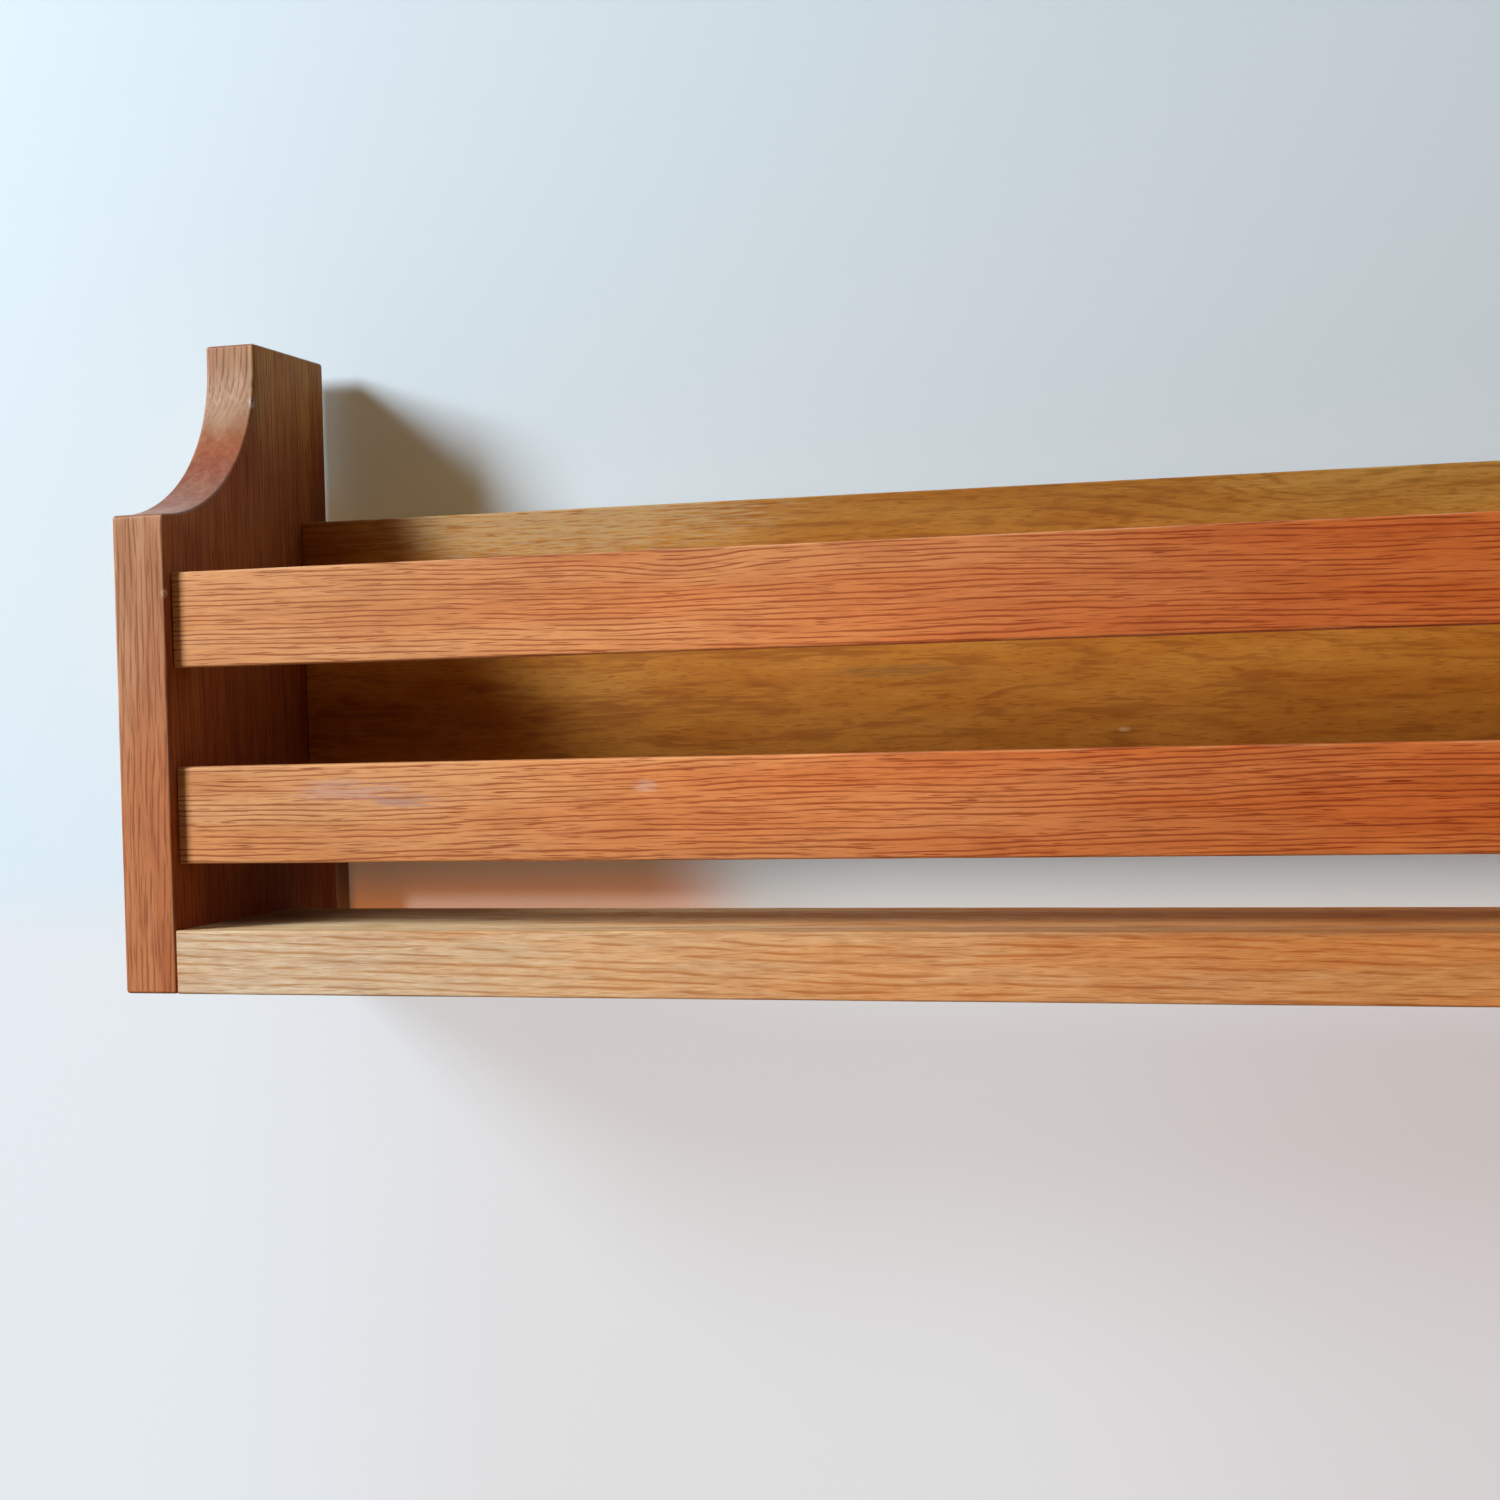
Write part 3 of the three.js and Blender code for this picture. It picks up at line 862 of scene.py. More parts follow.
def rod_along_x(name, low, high, spare=0.0, sides=40):
    """A round rod that fills a box along X, thicker and longer all round by the spare."""
    bpy.ops.object.select_all(action="DESELECT")
    bpy.ops.mesh.primitive_cylinder_add(
        vertices=sides,
        radius=(high.z - low.z) / 2 + spare,
        depth=high.x - low.x + 2 * spare,
        location=(low + high) / 2,
        rotation=(0, math.pi / 2, 0),
    )
    rod = bpy.context.object
    rod.name = name
    return settle(rod)


def join(name, parts):
    bpy.ops.object.select_all(action="DESELECT")
    for part in parts:
        part.select_set(True)
    bpy.context.view_layer.objects.active = parts[0]
    bpy.ops.object.join()
    bpy.context.object.name = name
    return bpy.context.object


drill_bits = join("drill_bits", [rod_along_x("bit", *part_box(name), DOWEL_GAP) for name in dowel_names])
print("Drill bits:", len(dowel_names))

# %% [markdown]
# The shelf, the back board and the two rails are plain planks between the end panels. Each is cut to its box
# in the frame, and only its long arrises are rounded, because its sawn ends butt against the panels. Then it
# is planed and bored, and it stands for its CAD node.

# %% Make the shelf, the back board and the rails
def dress(piece, node):
    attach(piece, "root")
    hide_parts(node)


def wide_axis(low, high):
    """The axis across a plank's wide face: 2 where it stands on edge, and 1 where it lies flat."""
    return 2 if high.z - low.z > high.y - low.y else 1


def plank(node):
    low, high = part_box(node)
    board = blank(node + "_plank", low, high)
    round_edges(board, 0, ARRIS, ARRIS_STEPS)
    slice_along(board, 0, low.x, high.x)
    across = wide_axis(low, high)
    slice_along(board, across, low[across], high[across])
    plane_by_hand(board)
    cut_with(board, drill_bits)
    polish(board, finishes[node])
    dress(board, node)
    return board


planks = {node: plank(node) for node, slot in (
    ("shelf", "shelf_oak"),
    ("back_board", "board_oak"),
    ("upper_rail", "rail_oak"),
    ("lower_rail", "rail_oak"),
)}
for node, board in planks.items():
    print(node, in_mm(board.dimensions), "mm,", len(board.data.polygons), "faces")

# %% [markdown]
# The end panels give the rack its outline: an ear at the wall, then a hollow quarter ellipse down to the
# front edge. On a bench the scoop is sawn and spokeshaved out of a square blank, and it is cut out here too.
# The cutter is the lower half of an elliptic rod, with its flat top extruded up past the ear, whose front
# runs straight for its last few millimetres. A round and a square cutter would leave a seam there.

# %% Make the end panels
EAR_DEPTH = 56.6 * MM
EAR_STRAIGHT = 8 * MM
SCOOP_REACH = 70.8 * MM
SCOOP_DROP = 60 * MM
SCOOP_SIDES = 240
OVERSHOOT = 6 * MM


def scoop_cutter(low, high):
    ear_front = high.y - EAR_DEPTH
    straight_from = high.z - EAR_STRAIGHT
    bpy.ops.object.select_all(action="DESELECT")
    bpy.ops.mesh.primitive_cylinder_add(
        vertices=SCOOP_SIDES,
        radius=1,
        depth=high.x - low.x + 2 * OVERSHOOT,
        location=((low.x + high.x) / 2, ear_front - SCOOP_REACH, straight_from),
        rotation=(0, math.pi / 2, 0),
    )
    cutter = bpy.context.object
    bpy.ops.object.transform_apply(location=False, rotation=True, scale=False)
    cutter.scale = (1, SCOOP_REACH, SCOOP_DROP)
    settle(cutter)
    bpy.ops.object.mode_set(mode="EDIT")
    bpy.ops.mesh.select_mode(type="FACE")
    bpy.ops.mesh.select_all(action="SELECT")
    bpy.ops.mesh.bisect(plane_co=(0, 0, straight_from), plane_no=(0, 0, 1), use_fill=True, clear_outer=True)
    select_flat_top(cutter, straight_from)
    bpy.ops.mesh.extrude_region_move(TRANSFORM_OT_translate={"value": (0, 0, EAR_STRAIGHT + OVERSHOOT)})
    bpy.ops.object.mode_set(mode="OBJECT")
    return cutter


def select_flat_top(piece, height):
    """Selects, in edit mode, only the faces that lie at one height and face up."""
    bpy.ops.mesh.select_all(action="DESELECT")
    shape = bmesh.from_edit_mesh(piece.data)
    for face in shape.faces:
        level = abs(face.calc_center_median().z - height) < SLIVER
        face.select_set(level and face.normal.z > MOSTLY)
    bmesh.update_edit_mesh(piece.data)


def end_panel(side):
    node = side + "_end_panel"
    low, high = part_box(node)
    panel = blank(side + "_end_board", low, high)
    cutter = scoop_cutter(low, high)
    cut_with(panel, cutter)
    discard(cutter)
    ease(panel, PANEL_ARRIS)
    slice_along(panel, 2, low.z, high.z)
    slice_along(panel, 1, low.y, high.y)
    plane_by_hand(panel)
    cut_with(panel, drill_bits)
    return panel


panels = {side: end_panel(side) for side in ("left", "right")}
discard(drill_bits)
print("End panels sawn, eased and bored:", ", ".join(panels))

# %% [markdown]
# On the back edge of each ear a keyhole plate is let in flush. Behind its slot the wood is hollowed for the
# head of the wall screw, and two small holes are bored for the plate's own screws. A router leaves rounded
# corners, so the cutters have them too. The frame says where each plate and screw sits.

# %% Let the hangers into the ears
CORNER = 3 * MM
CORNER_STEPS = 6
RECESS_SPARE = 0.3 * MM
HEAD_ROOM = Vector((11, 9, 26)) * MM
PILOT_RADIUS = 1.8 * MM
PILOT_DEPTH = 14.3 * MM
UPRIGHT_TO_BACK = (-math.pi / 2, 0, 0)


def centre(node):
    low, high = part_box(node)
    return (low + high) / 2


def peg_along_y(name, middle, radius, front, back, wide_back=None, sides=48):
    """A round cutter from its front to its back place, as a cone if it is wider at the back."""
    bpy.ops.object.select_all(action="DESELECT")
    bpy.ops.mesh.primitive_cone_add(
        vertices=sides,
        radius1=radius,
        radius2=wide_back or radius,
        depth=back - front,
        location=(middle.x, (front + back) / 2, middle.z),
        rotation=UPRIGHT_TO_BACK,
    )
    peg = bpy.context.object
    peg.name = name
    return settle(peg)


def screw_nodes(side):
    return [side + "_hanger_screw_" + place for place in ("lower", "upper")]


def let_in_hanger(panel, side):
    low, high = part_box(side + "_hanger_plate")
    spare = Vector((1, 1, 1)) * RECESS_SPARE
    recess = blank("recess_cutter", low - spare, high + spare)
    round_edges(recess, 1, CORNER, CORNER_STEPS)
    middle = Vector(((low.x + high.x) / 2, low.y - HEAD_ROOM.y / 2, (low.z + high.z) / 2))
    hollow = blank("hollow_cutter", middle - HEAD_ROOM / 2, middle + HEAD_ROOM / 2)
    round_edges(hollow, 1, CORNER, CORNER_STEPS)
    pilots = [
        peg_along_y("pilot_cutter", centre(node), PILOT_RADIUS, high.y - PILOT_DEPTH, high.y + RECESS_SPARE)
        for node in screw_nodes(side)
    ]
    for cutter in (recess, hollow, *pilots):
        cut_with(panel, cutter)
    discard(recess, hollow, *pilots)


for side, panel in panels.items():
    let_in_hanger(panel, side)
print("Hanger recesses are", round(PILOT_DEPTH / MM, 1), "mm deep at the pilot holes")

# %% [markdown]
# Years of plates have left two small chips on the left panel: one on its front arris beside the upper rail,
# and one on the arris of the scoop. A chip could be painted on, but then the arris would stay whole. Here a
# ball, squeezed and roughened, bites each one out.

# %% Chip the left panel
CHIP_ROUGH = 0.5 * MM
CHIPS = (
    ((-430.2, -62.0, 137.6), (0.8, 0.8, 1.2)),
    ((-430.2, 4.5, 211.5), (0.7, 0.9, 1.9)),
)


def chip(panel, middle, reach):
    bpy.ops.object.select_all(action="DESELECT")
    bpy.ops.mesh.primitive_ico_sphere_add(subdivisions=3, radius=1, location=Vector(middle) * MM)
    bite = bpy.context.object
    bite.scale = Vector(reach) * MM
    settle(bite)
    clouds = bpy.data.textures.new("chip_roughness", "CLOUDS")
    clouds.noise_scale = CHIP_ROUGH
    shape_with(bite, "DISPLACE", texture=clouds, strength=CHIP_ROUGH, texture_coords="LOCAL")
    cut_with(panel, bite)
    discard(bite)


for middle, reach in CHIPS:
    chip(panels["left"], middle, reach)
for side, panel in panels.items():
    polish(panel, finishes[side + "_end_panel"])
    dress(panel, side + "_end_panel")
    print(side, "panel:", in_mm(panel.dimensions), "mm,", len(panel.data.polygons), "faces")

# %% [markdown]
# A keyhole plate is stamped from sheet: rounded corners, a round entry for the wall screw's head, a slot that
# its neck slides up, and a countersunk hole near each end. It is cut from a blank by the same few shapes.
# What repeats is made once and copied, and each copy gets a mesh of its own, with its place in it.

# %% Stamp the keyhole plates
ENTRY_RADIUS = 4.6 * MM
ENTRY_BELOW = 6 * MM
SLOT_RADIUS = 2.6 * MM
SLOT_ABOVE = 7 * MM
SINK_RADIUS = 3.4 * MM
SINK_DEPTH = 1.6 * MM
SINK_SPARE = 0.1 * MM
STAMPED_ARRIS = 0.22 * MM
STAMPED_STEPS = 2


def copy_to(piece, name, shift):
    pick(piece)
    bpy.ops.object.duplicate(linked=False)
    twin = bpy.context.object
    twin.name = name
    twin.location = shift
    return settle(twin)


def keyhole_plate(side):
    low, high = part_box(side + "_hanger_plate")
    middle = (low + high) / 2
    front, back = low.y - SINK_SPARE, high.y + SINK_SPARE
    plate = blank(side + "_keyhole_plate", low, high)
    round_edges(plate, 1, CORNER, CORNER_STEPS)
    entry = middle - Vector((0, 0, ENTRY_BELOW))
    top = middle + Vector((0, 0, SLOT_ABOVE))
    slot_low = Vector((middle.x - SLOT_RADIUS, front, entry.z))
    slot_high = Vector((middle.x + SLOT_RADIUS, back, top.z))
    cutters = [
        peg_along_y("entry_cutter", entry, ENTRY_RADIUS, front, back),
        blank("slot_cutter", slot_low, slot_high),
        peg_along_y("slot_end_cutter", top, SLOT_RADIUS, front, back),
    ]
    for node in screw_nodes(side):
        cutters.append(peg_along_y("hole_cutter", centre(node), PILOT_RADIUS, front, back))
        narrow = SINK_RADIUS - SINK_DEPTH
        wide = SINK_RADIUS + SINK_SPARE
        cutters.append(peg_along_y("sink_cutter", centre(node), narrow, high.y - SINK_DEPTH, back, wide))
    for cutter in cutters:
        cut_with(plate, cutter)
    discard(*cutters)
    ease(plate, STAMPED_ARRIS, STAMPED_STEPS)
    polish(plate, finishes["hanger"])
    return plate


left_plate = keyhole_plate("left")
to_right = centre("right_hanger_plate") - centre("left_hanger_plate")
plates = {"left": left_plate, "right": copy_to(left_plate, "right_keyhole_plate", to_right)}
for side, plate in plates.items():
    dress(plate, side + "_hanger_plate")
print("Keyhole plates:", len(plates), "with", len(left_plate.data.polygons), "faces each")

# %% [markdown]
# A countersunk wood screw is turned from a disc: the head's face is extruded down and drawn in for the
# countersink, down again for the shank, and in to the point. Its thread is a small diamond swept round the
# shank by a Screw modifier, and the slot is sawn across the head. It is made standing up at the origin, where
# the modifier's axis is, and only then turned and set in place.

# %% Turn the hanger screws
SCREW_SIDES = 36
SCREW_HEAD = 3.1 * MM
SCREW_CORE = 1.5 * MM
SCREW_RIM = 0.12 * MM
SCREW_STAGES = ((0.12, 3.1), (1.6, 1.5), (10.0, 1.5), (13.2, 0.5), (14.0, 0.04))
SLOT_WIDE = 0.8 * MM
SLOT_DEEP = 0.7 * MM
THREAD_HIGH = 0.26 * MM
THREAD_PITCH = 1.1 * MM
THREAD_TURNS = 7
THREAD_STEPS = 20
THREAD_SUNK = 0.1 * THREAD_HIGH
THREAD_FROM = -10.6 * MM


def turned_body():
    bpy.ops.object.select_all(action="DESELECT")
    bpy.ops.mesh.primitive_circle_add(vertices=SCREW_SIDES, radius=SCREW_HEAD - SCREW_RIM, fill_type="NGON")
    body = bpy.context.object
    bpy.ops.object.mode_set(mode="EDIT")
    bpy.ops.mesh.select_all(action="SELECT")
    depth, radius = 0.0, SCREW_HEAD - SCREW_RIM
    for stage_depth, stage_radius in SCREW_STAGES:
        down = {"value": (0, 0, depth - stage_depth * MM)}
        bpy.ops.mesh.extrude_region_move(TRANSFORM_OT_translate=down)
        ratio = stage_radius * MM / radius
        bpy.ops.transform.resize(value=(ratio, ratio, 1))
        depth, radius = stage_depth * MM, stage_radius * MM
    bpy.ops.mesh.select_all(action="SELECT")
    bpy.ops.mesh.normals_make_consistent(inside=False)
    bpy.ops.object.mode_set(mode="OBJECT")
    return body


def thread():
    bpy.ops.object.select_all(action="DESELECT")
    bpy.ops.mesh.primitive_circle_add(
        vertices=4,
        radius=THREAD_HIGH,
        location=(SCREW_CORE - THREAD_SUNK, 0, THREAD_FROM),
        rotation=(math.pi / 2, 0, 0),
    )
    ridge = settle(bpy.context.object)
    turns = {"iterations": THREAD_TURNS, "steps": THREAD_STEPS, "render_steps": THREAD_STEPS}
    shape_with(ridge, "SCREW", screw_offset=THREAD_PITCH, **turns)
    bpy.ops.object.mode_set(mode="EDIT")
    bpy.ops.mesh.select_all(action="SELECT")
    bpy.ops.mesh.fill_holes(sides=4)
    bpy.ops.mesh.normals_make_consistent(inside=False)
    bpy.ops.object.mode_set(mode="OBJECT")
    return ridge


def wood_screw(name):
    screw = turned_body()
    screw.name = name
    ridge = thread()
    shape_with(screw, "BOOLEAN", operation="UNION", solver="EXACT", object=ridge)
    reach = Vector((SLOT_WIDE / 2, 2 * SCREW_HEAD, SLOT_DEEP))
    slot = blank("screw_slot_cutter", -reach, reach)
    cut_with(screw, slot)
    discard(ridge, slot)
    polish(screw, finishes["screw"])
    return screw


pattern_screw = wood_screw("pattern_screw")
print("The pattern screw has", len(pattern_screw.data.polygons), "faces")

# %% [markdown]
# Two screws hold each hanger. Each could be turned anew, but they are all alike. So the pattern is copied for
# each screw in the frame, laid down with its head outwards, and set in its hole. The pattern itself is then
# thrown away.

# %% Drive the screws
screws = {}
for side in ("left", "right"):
    for node in screw_nodes(side):
        screw = copy_to(pattern_screw, node.replace("hanger_screw", "wood_screw"), Vector((0, 0, 0)))
        screw.rotation_euler = UPRIGHT_TO_BACK
        screw.location = (centre(node).x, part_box(node)[1].y, centre(node).z)
        screws[node] = settle(screw)
        dress(screw, node)
discard(pattern_screw)
print("Wood screws:", len(screws))

# %% [markdown]
# The dowels are fluted beech pegs. The flutes let the glue and the air out as a peg is driven home, and the
# chamfered ends help it to find its hole. Each size is made once, as a rod with every second corner drawn in,
# and it is copied into every joint.

# %% Make the dowels
FLUTES = 20
FLUTE_DRAW = 0.93
DOWEL_CHAMFER = 1 * MM
CHAMFER_ANGLE = math.radians(60)


def draw_in_flutes(rod, middle):
    """Selects every second corner of the rod, at both ends, and draws it towards the axis."""
    pick(rod)
    bpy.ops.object.mode_set(mode="EDIT")
    bpy.ops.mesh.select_mode(type="VERT")
    bpy.ops.mesh.select_all(action="DESELECT")
    shape = bmesh.from_edit_mesh(rod.data)
    for corner in shape.verts:
        turn = math.atan2(corner.co.z - middle.z, corner.co.y - middle.y) / (2 * math.pi) * 2 * FLUTES
        corner.select_set(round(turn) % 2 == 1)
    bmesh.update_edit_mesh(rod.data)
    bpy.ops.transform.resize(value=(1, FLUTE_DRAW, FLUTE_DRAW), center_override=middle)
    bpy.ops.object.mode_set(mode="OBJECT")


def fluted_dowel(node):
    rod = rod_along_x(node + "_fluted", *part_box(node), sides=2 * FLUTES)
    draw_in_flutes(rod, centre(node))
    chamfer = {"limit_method": "ANGLE", "angle_limit": CHAMFER_ANGLE}
    shape_with(rod, "BEVEL", width=DOWEL_CHAMFER, segments=1, **chamfer)
    polish(rod, finishes["dowel"])
    return rod


patterns = {}
for node in dowel_names:
    low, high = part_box(node)
    size = round((high.z - low.z) / MM)
    if size not in patterns:
        patterns[size] = (node, fluted_dowel(node))
    first, pattern = patterns[size]
    peg = pattern if node == first else copy_to(pattern, node + "_fluted", centre(node) - centre(first))
    dress(peg, node)
print("Dowels:", len(dowel_names), "in", len(patterns), "sizes")

# %% [markdown]
# The rack hangs a finger's width off a pale wall, and its shadow there tells the eye how deep it is. A solid
# wall would hide the rack from the back and keep all light from it. This wall is one-sided, so it is clear
# from behind, and it lets the light for the rack's own back through, but only straight behind the boards,
# where nobody in front can see it. Low down there it is painted dark, or it would throw light back through
# the gap under the lower rail. Past the rack's ends it fades from the camera, for the views from the side.

# %% Mix the wall's paint
WALL_GAP = 10 * MM
WALL_REACH = 16 * MM
WALL_PAINT = (0.675, 0.825, 0.935)
HIDDEN_PAINT = (0.12, 0.07, 0.05)
LOW_GAP_TOP = (45 * MM, 60 * MM)
WALL_FADE = (0.68, 1.25)
HIDING = ("back_board", "left_end_panel", "right_end_panel")


def behind_piece(tree, spot, node):
    """1 where a point of the wall lies straight behind one piece of the rack, and 0 elsewhere."""
    low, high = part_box(node)
    inside = 1.0
    for axis in (0, 2):
        above = calc(tree, "GREATER_THAN", spot.outputs[axis], low[axis])
        below = calc(tree, "LESS_THAN", spot.outputs[axis], high[axis])
        inside = calc(tree, "MULTIPLY", inside, calc(tree, "MULTIPLY", above, below))
    return inside


def wall_paint(tree, spot, hidden):
    low_hidden = calc(tree, "MULTIPLY", hidden, rise(tree, spot.outputs[2], *LOW_GAP_TOP, 1.0, 0.0))
    return add(tree, "BsdfDiffuse", {"Color": tint(tree, low_hidden, WALL_PAINT, HIDDEN_PAINT)})


def see_through(tree, spot, hidden, light):
    """1 from behind, for light on its way to the boards' backs, and for the camera past the rack's ends."""
    close = calc(tree, "LESS_THAN", light.outputs["Ray Length"], WALL_REACH)
    unseen = calc(tree, "SUBTRACT", 1.0, light.outputs["Is Camera Ray"])
    passing = calc(tree, "MULTIPLY", hidden, calc(tree, "MULTIPLY", close, unseen))
    clear = calc(tree, "MAXIMUM", add(tree, "NewGeometry").outputs["Backfacing"], passing)
    faded = rise(tree, calc(tree, "ABSOLUTE", spot.outputs[0]), *WALL_FADE)
    return calc(tree, "MAXIMUM", clear, calc(tree, "MULTIPLY", faded, light.outputs["Is Camera Ray"]))


print("The wall is clear straight behind:", ", ".join(HIDING))

# %% [markdown]
# Pale boards and all that stands in a room throw their own colours on a wall. Each could have a lamp of its
# own, but every lamp would change the rack too. So a shade is laid on the wall: a little warmth high up,
# three pale tones low down from left to right, and behind the gap under the lower rail the tan, orange and
# brown of the boards, then sunlight.

# %% Choose the colours of the shade
HIGH_SHADE = (1.15, 0.77, 0.4)
LOW_SHADES = ((0.82, 0.836, 0.865), (0.795, 0.755, 0.75), (0.73, 0.66, 0.65))
LOW_LEFT_ENDS = (-520 * MM, -340 * MM)
LOW_RIGHT_STARTS = (-200 * MM, 20 * MM)
HIGH_STARTS = (40 * MM, 150 * MM)
GAP_TAN = (1.15, 0.55, 0.33)
GAP_ORANGE = (0.9, 0.22, 0.02)
GAP_RUST = (0.78, 0.2, 0.02)
GAP_DARK = (0.16, 0.045, 0.012)
GAP_SUNLIT = (1.03, 0.92, 0.83)
TAN_ENDS = (19 * MM, 26 * MM)
DARK_ENDS = (-431 * MM, -426 * MM)
RUST_ENDS = (-409 * MM, -401 * MM)
SUNLIT_STARTS = (-296 * MM, -254 * MM)
GAP_SIDES = (446 * MM, 452 * MM)
GAP_FOOT = (0.0, 14 * MM)


def gap_shade(tree, across, up):
    """The boards' colours thrown on the wall: tan below orange, rust and dark at the left, then sunlight."""
    shade = tint(tree, rise(tree, up, *TAN_ENDS), GAP_TAN, GAP_ORANGE)
    shade = tint(tree, rise(tree, across, *RUST_ENDS), GAP_RUST, shade)
    shade = tint(tree, rise(tree, across, *DARK_ENDS), GAP_DARK, shade)
    return tint(tree, rise(tree, across, *SUNLIT_STARTS), shade, GAP_SUNLIT)


def pale_shade(tree, across, up):
    left, middle, right = LOW_SHADES
    low = tint(tree, rise(tree, across, *LOW_LEFT_ENDS), left, middle)
    low = tint(tree, rise(tree, across, *LOW_RIGHT_STARTS), low, right)
    return tint(tree, rise(tree, up, *HIGH_STARTS), low, HIGH_SHADE)


def wall_shade(tree, across, up):
    gap = rise(tree, calc(tree, "ABSOLUTE", across), *GAP_SIDES, 1.0, 0.0)
    gap = calc(tree, "MULTIPLY", gap, rise(tree, up, *GAP_FOOT))
    gap = calc(tree, "MULTIPLY", gap, rise(tree, up, *LOW_GAP_TOP, 1.0, 0.0))
    return tint(tree, gap, pale_shade(tree, across, up), gap_shade(tree, across, up))


print("Behind the gap, sunlight starts between", *in_mm(SUNLIT_STARTS), "mm across")

# %% [markdown]
# The shade must be seen and yet give no light to the rack. Painted on, it would colour all light that comes
# back off the wall. So it is an Emission node that only camera rays reach, and they see just a share of it
# over the paint. The clear places are mixed in last.

# %% Shade the wall
LOW_WALL = (-5 * MM, 40 * MM)
SHARE_LOW = 0.75
SHARE_HIGH = 0.07
SHARE_FADES = (0.1, 0.6)
SHARE_AT_RIGHT = 0.15


def shade_share(tree, across, up, light):
    """How much of the shade the camera sees: most low down at the left, least high up and at the right."""
    share = rise(tree, up, *LOW_WALL, SHARE_LOW, SHARE_HIGH)
    share = calc(tree, "MULTIPLY", share, rise(tree, across, *SHARE_FADES, 1.0, SHARE_AT_RIGHT))
    return calc(tree, "MULTIPLY", share, light.outputs["Is Camera Ray"])


def wall_finish():
    material, tree = new_tree("pale_wall")
    spot = add(tree, "SeparateXYZ", {0: add(tree, "TexCoord").outputs["Object"]})
    across, up = spot.outputs[0], spot.outputs[2]
    light = add(tree, "LightPath")
    hidden = 0.0
    for node in HIDING:
        hidden = calc(tree, "MAXIMUM", hidden, behind_piece(tree, spot, node))
    shade = add(tree, "Emission", {"Color": wall_shade(tree, across, up), "Strength": 1.0})
    front = add(tree, "MixShader", {
        0: shade_share(tree, across, up, light),
        1: wall_paint(tree, spot, hidden).outputs[0],
        2: shade.outputs[0],
    })
    mixed = add(tree, "MixShader", {
        0: see_through(tree, spot, hidden, light),
        1: front.outputs[0],
        2: add(tree, "BsdfTransparent").outputs[0],
    })
    add(tree, "OutputMaterial", {"Surface": mixed.outputs[0]})
    return material


print("Low down the camera sees", SHARE_LOW, "of the shade, and high up", SHARE_HIGH)

# %% [markdown]
# A pale floor lies far below. Painted plainly, it would throw so much light up that the inside of the rack
# would lose its depth. So it is pale only to the camera, and it goes white far away. Mirror-like rays see
# the pale colours behind the rack, where its steel plates are. In front they would haze the varnish.

# %% Mix the floor's paint, and stand the rack before the wall
FLOOR_DROP = 350 * MM
FLOOR_PAINT = (0.8, 0.78, 0.75)
FLOOR_RETURN = (0.16, 0.13, 0.1)
FLOOR_FADE = (0.6, 4.5)
FLOOR_GLOW = (0.55, 1.0)
FLOOR_BEHIND = (0.1, 0.3)
SHEET_SIZE = 14.0


def seen_directly(tree, behind):
    """1 for the camera, and for mirror-like rays that leave the rack's back, where its steel plates are."""
    light = add(tree, "LightPath")
    mirrored = calc(tree, "MAXIMUM", light.outputs["Is Glossy Ray"], light.outputs["Is Transmission Ray"])
    return calc(tree, "MAXIMUM", light.outputs["Is Camera Ray"], calc(tree, "MULTIPLY", mirrored, behind))


def floor_finish():
    material, tree = new_tree("pale_floor")
    own = add(tree, "TexCoord").outputs["Object"]
    seen = seen_directly(tree, rise(tree, add(tree, "SeparateXYZ", {0: own}).outputs[1], *FLOOR_BEHIND))
    paint = add(tree, "BsdfDiffuse", {"Color": tint(tree, seen, FLOOR_RETURN, FLOOR_PAINT)})
    glow = add(tree, "Emission", {"Color": (1, 1, 1, 1), "Strength": 1.0})
    share = calc(tree, "MULTIPLY", rise(tree, length_of(tree, own), *FLOOR_FADE, *FLOOR_GLOW), seen)
    mixed = add(tree, "MixShader", {0: share, 1: paint.outputs[0], 2: glow.outputs[0]})
    add(tree, "OutputMaterial", {"Surface": mixed.outputs[0]})
    return material


def stage_sheet(name, place, turn, finish):
    bpy.ops.object.select_all(action="DESELECT")
    bpy.ops.mesh.primitive_plane_add(size=SHEET_SIZE, location=place, rotation=turn)
    sheet = bpy.context.object
    sheet.name = name
    sheet.data.materials.append(finish)
    settle(sheet)


stage_sheet("wall", (0, cad_box[1].y + WALL_GAP, 0), (math.pi / 2, 0, 0), wall_finish())
stage_sheet("floor", (0, 0, -FLOOR_DROP), (0, 0, 0), floor_finish())
print("The wall stands", round(WALL_GAP / MM), "mm behind the rack")

# %% [markdown]
# The light is a window to the left, in front and above: its shadows fall to the right and down, with edges
# that soften as they run. An area lamp of a window's size does that. A second, wide lamp lies below the rack
# and stands for a pale worktop that sends warm light up. A third keeps the right end from going black.

# %% Light it from a window
WINDOW_AIM = Vector((-450, -30, 120)) * MM
WINDOW_TURN = math.radians(50.3)
WINDOW_HEIGHT = math.radians(25.5)
WINDOW_AWAY = 2.5
WINDOW_SIZE = (0.66, 0.84)
WINDOW_POWER = 94
WINDOW_COLOUR = (0.93, 0.97, 1.0)
WORKTOP_PLACE = Vector((-0.1, -0.1, -0.34))
WORKTOP_SIZE = (1.8, 0.3)
WORKTOP_POWER = 0.6
WORKTOP_COLOUR = (1.0, 0.7, 0.5)
END_FILL_PLACE = Vector((3.2, -0.1, 0.12))
END_FILL_SIZE = (0.5, 0.5)
END_FILL_POWER = 14
END_FILL_COLOUR = (1.0, 0.97, 0.93)


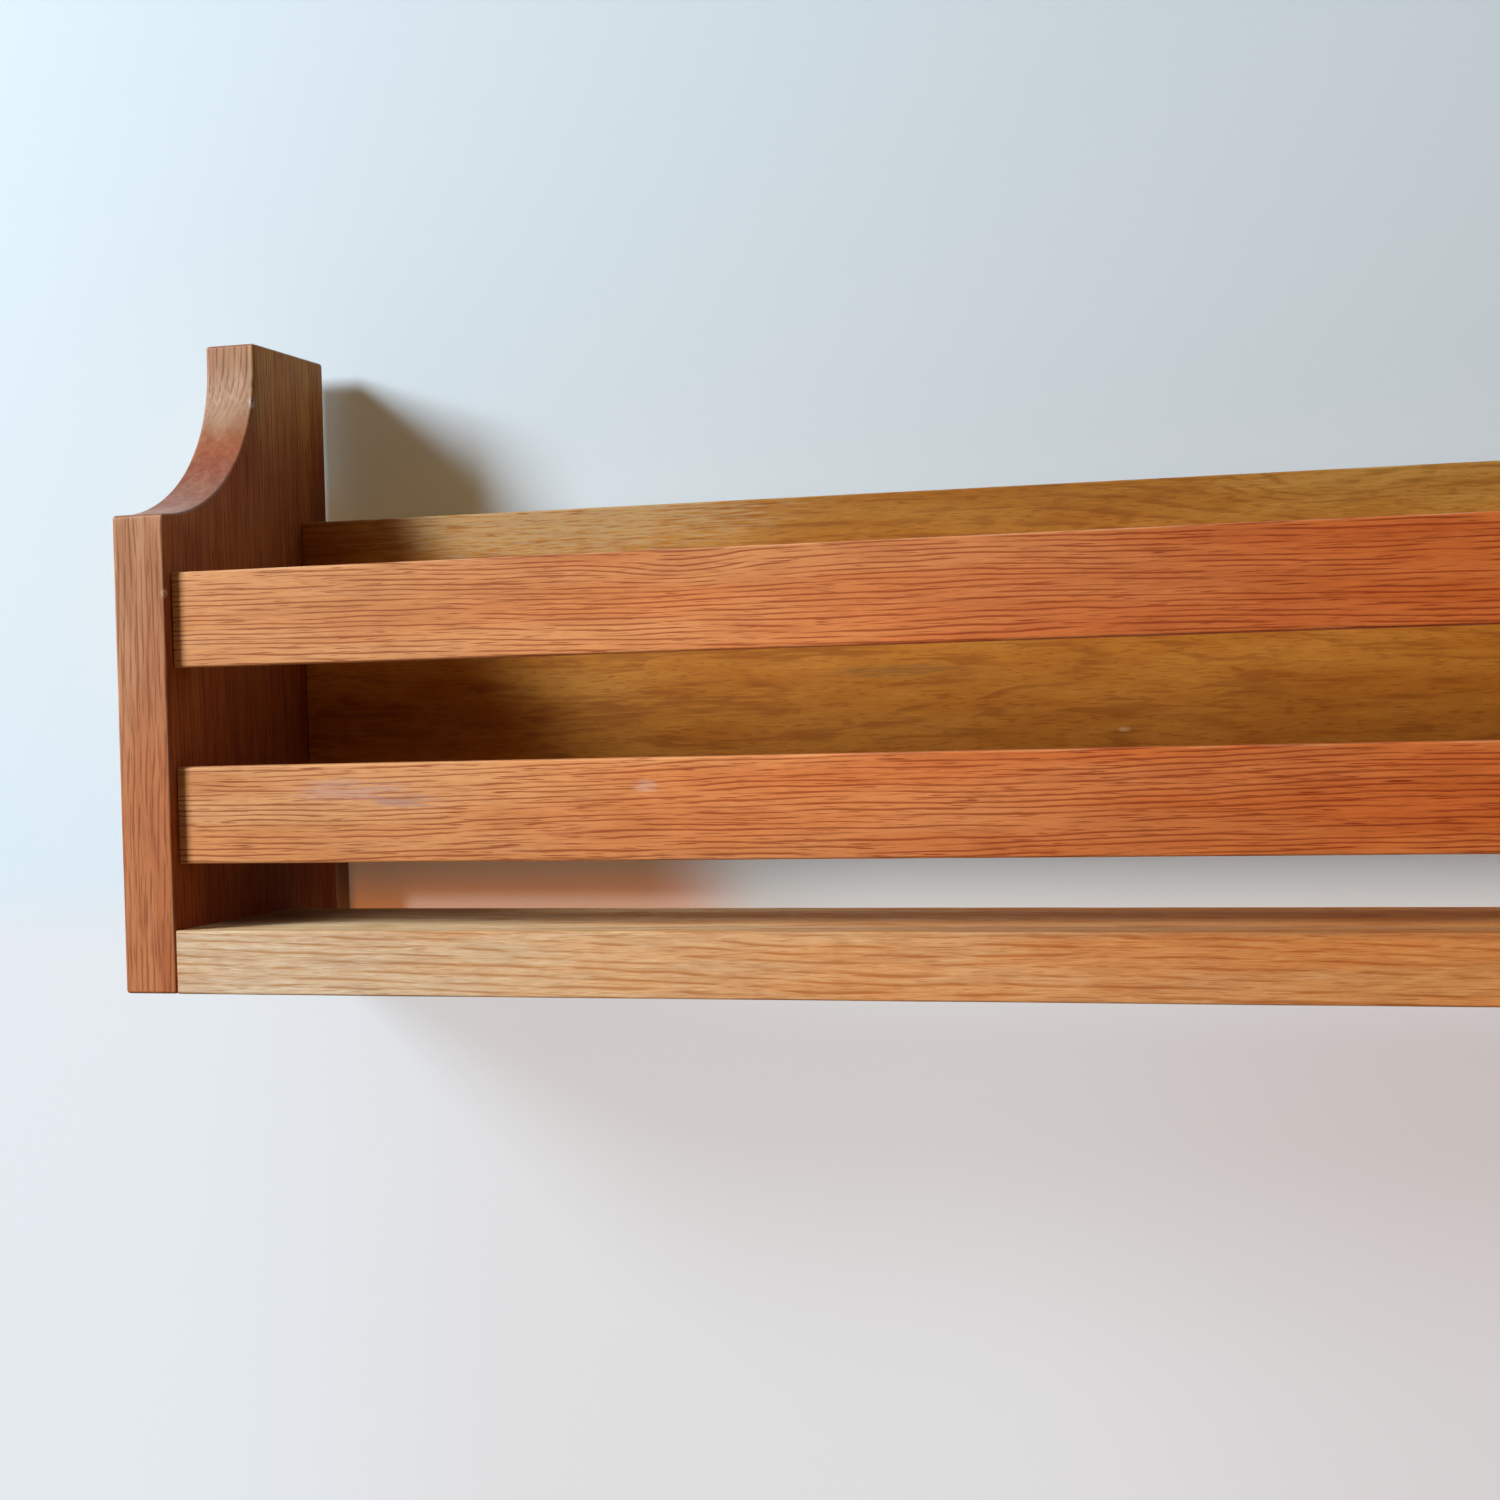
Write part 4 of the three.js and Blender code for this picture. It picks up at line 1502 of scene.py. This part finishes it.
def lamp(name, place, aim, size, power, colour):
    data = bpy.data.lights.new(name, "AREA")
    data.shape = "RECTANGLE"
    data.size, data.size_y = size
    data.energy = power
    data.color = colour
    made = bpy.data.objects.new(name, data)
    bpy.context.scene.collection.objects.link(made)
    turn = (aim - place).to_track_quat("-Z", "Y")
    made.matrix_world = Matrix.Translation(place) @ turn.to_matrix().to_4x4()
    made.visible_camera = False


window_way = Vector((
    -math.sin(WINDOW_TURN) * math.cos(WINDOW_HEIGHT),
    -math.cos(WINDOW_TURN) * math.cos(WINDOW_HEIGHT),
    math.sin(WINDOW_HEIGHT),
))
window_place = WINDOW_AIM + window_way * WINDOW_AWAY
above_worktop = WORKTOP_PLACE + Vector((0, 0, 1))
right_end = Vector((cad_box[1].x, 0, END_FILL_PLACE.z))
lamp("window", window_place, WINDOW_AIM, WINDOW_SIZE, WINDOW_POWER, WINDOW_COLOUR)
lamp("worktop", WORKTOP_PLACE, above_worktop, WORKTOP_SIZE, WORKTOP_POWER, WORKTOP_COLOUR)
lamp("end_fill", END_FILL_PLACE, right_end, END_FILL_SIZE, END_FILL_POWER, END_FILL_COLOUR)
print("Window light comes from", [round(c, 2) for c in window_way])

# %% [markdown]
# The rest of the room is the world's own light. An even grey would flatten the shadows. Here the room is
# nearly black at the sides and has one dim warm band in front, a little above the rack, which keeps the
# shadows deep and brown. Behind the wall it is brighter, for the rack's back. The camera sees it white.

# %% Light the rest of the room
ROOM_AHEAD = (0.6, 0.38, 0.18)
ROOM_ASIDE = (0.02, 0.015, 0.01)
ROOM_BEHIND = (0.7, 0.7, 0.7)
AHEAD_ENDS = (-0.95, -0.6)
BAND_FOOT = (0.2, 0.3)
BAND_TOP = (0.5, 0.6)
BEHIND_STARTS = (0.0, 0.4)


def room_light():
    world = bpy.data.worlds.new("room")
    bpy.context.scene.world = world
    world.use_nodes = True
    tree = world.node_tree
    tree.nodes.clear()
    way = add(tree, "SeparateXYZ", {0: add(tree, "TexCoord").outputs["Generated"]})
    ahead = rise(tree, way.outputs[1], *AHEAD_ENDS, 1.0, 0.0)
    height = way.outputs[2]
    band = calc(tree, "MULTIPLY", rise(tree, height, *BAND_FOOT), rise(tree, height, *BAND_TOP, 1.0, 0.0))
    front = tint(tree, calc(tree, "MULTIPLY", ahead, band), ROOM_ASIDE, ROOM_AHEAD)
    behind = rise(tree, way.outputs[1], *BEHIND_STARTS)
    room = tint(tree, behind, front, ROOM_BEHIND)
    seen = tint(tree, seen_directly(tree, behind), room, (1, 1, 1))
    light = add(tree, "Background", {"Color": seen, "Strength": 1.0})
    add(tree, "OutputWorld", {"Surface": light.outputs[0]})
    return world


world = room_light()
print("The dim light of the room is the world called", world.name)

# %% [markdown]
# The last cell prints the CAD model's box once more, in millimetres, where a difference of a tenth of a
# millimetre shows.

# %% Print the CAD box
print("CAD box", *(in_mm(corner) for corner in cad_box), "mm")
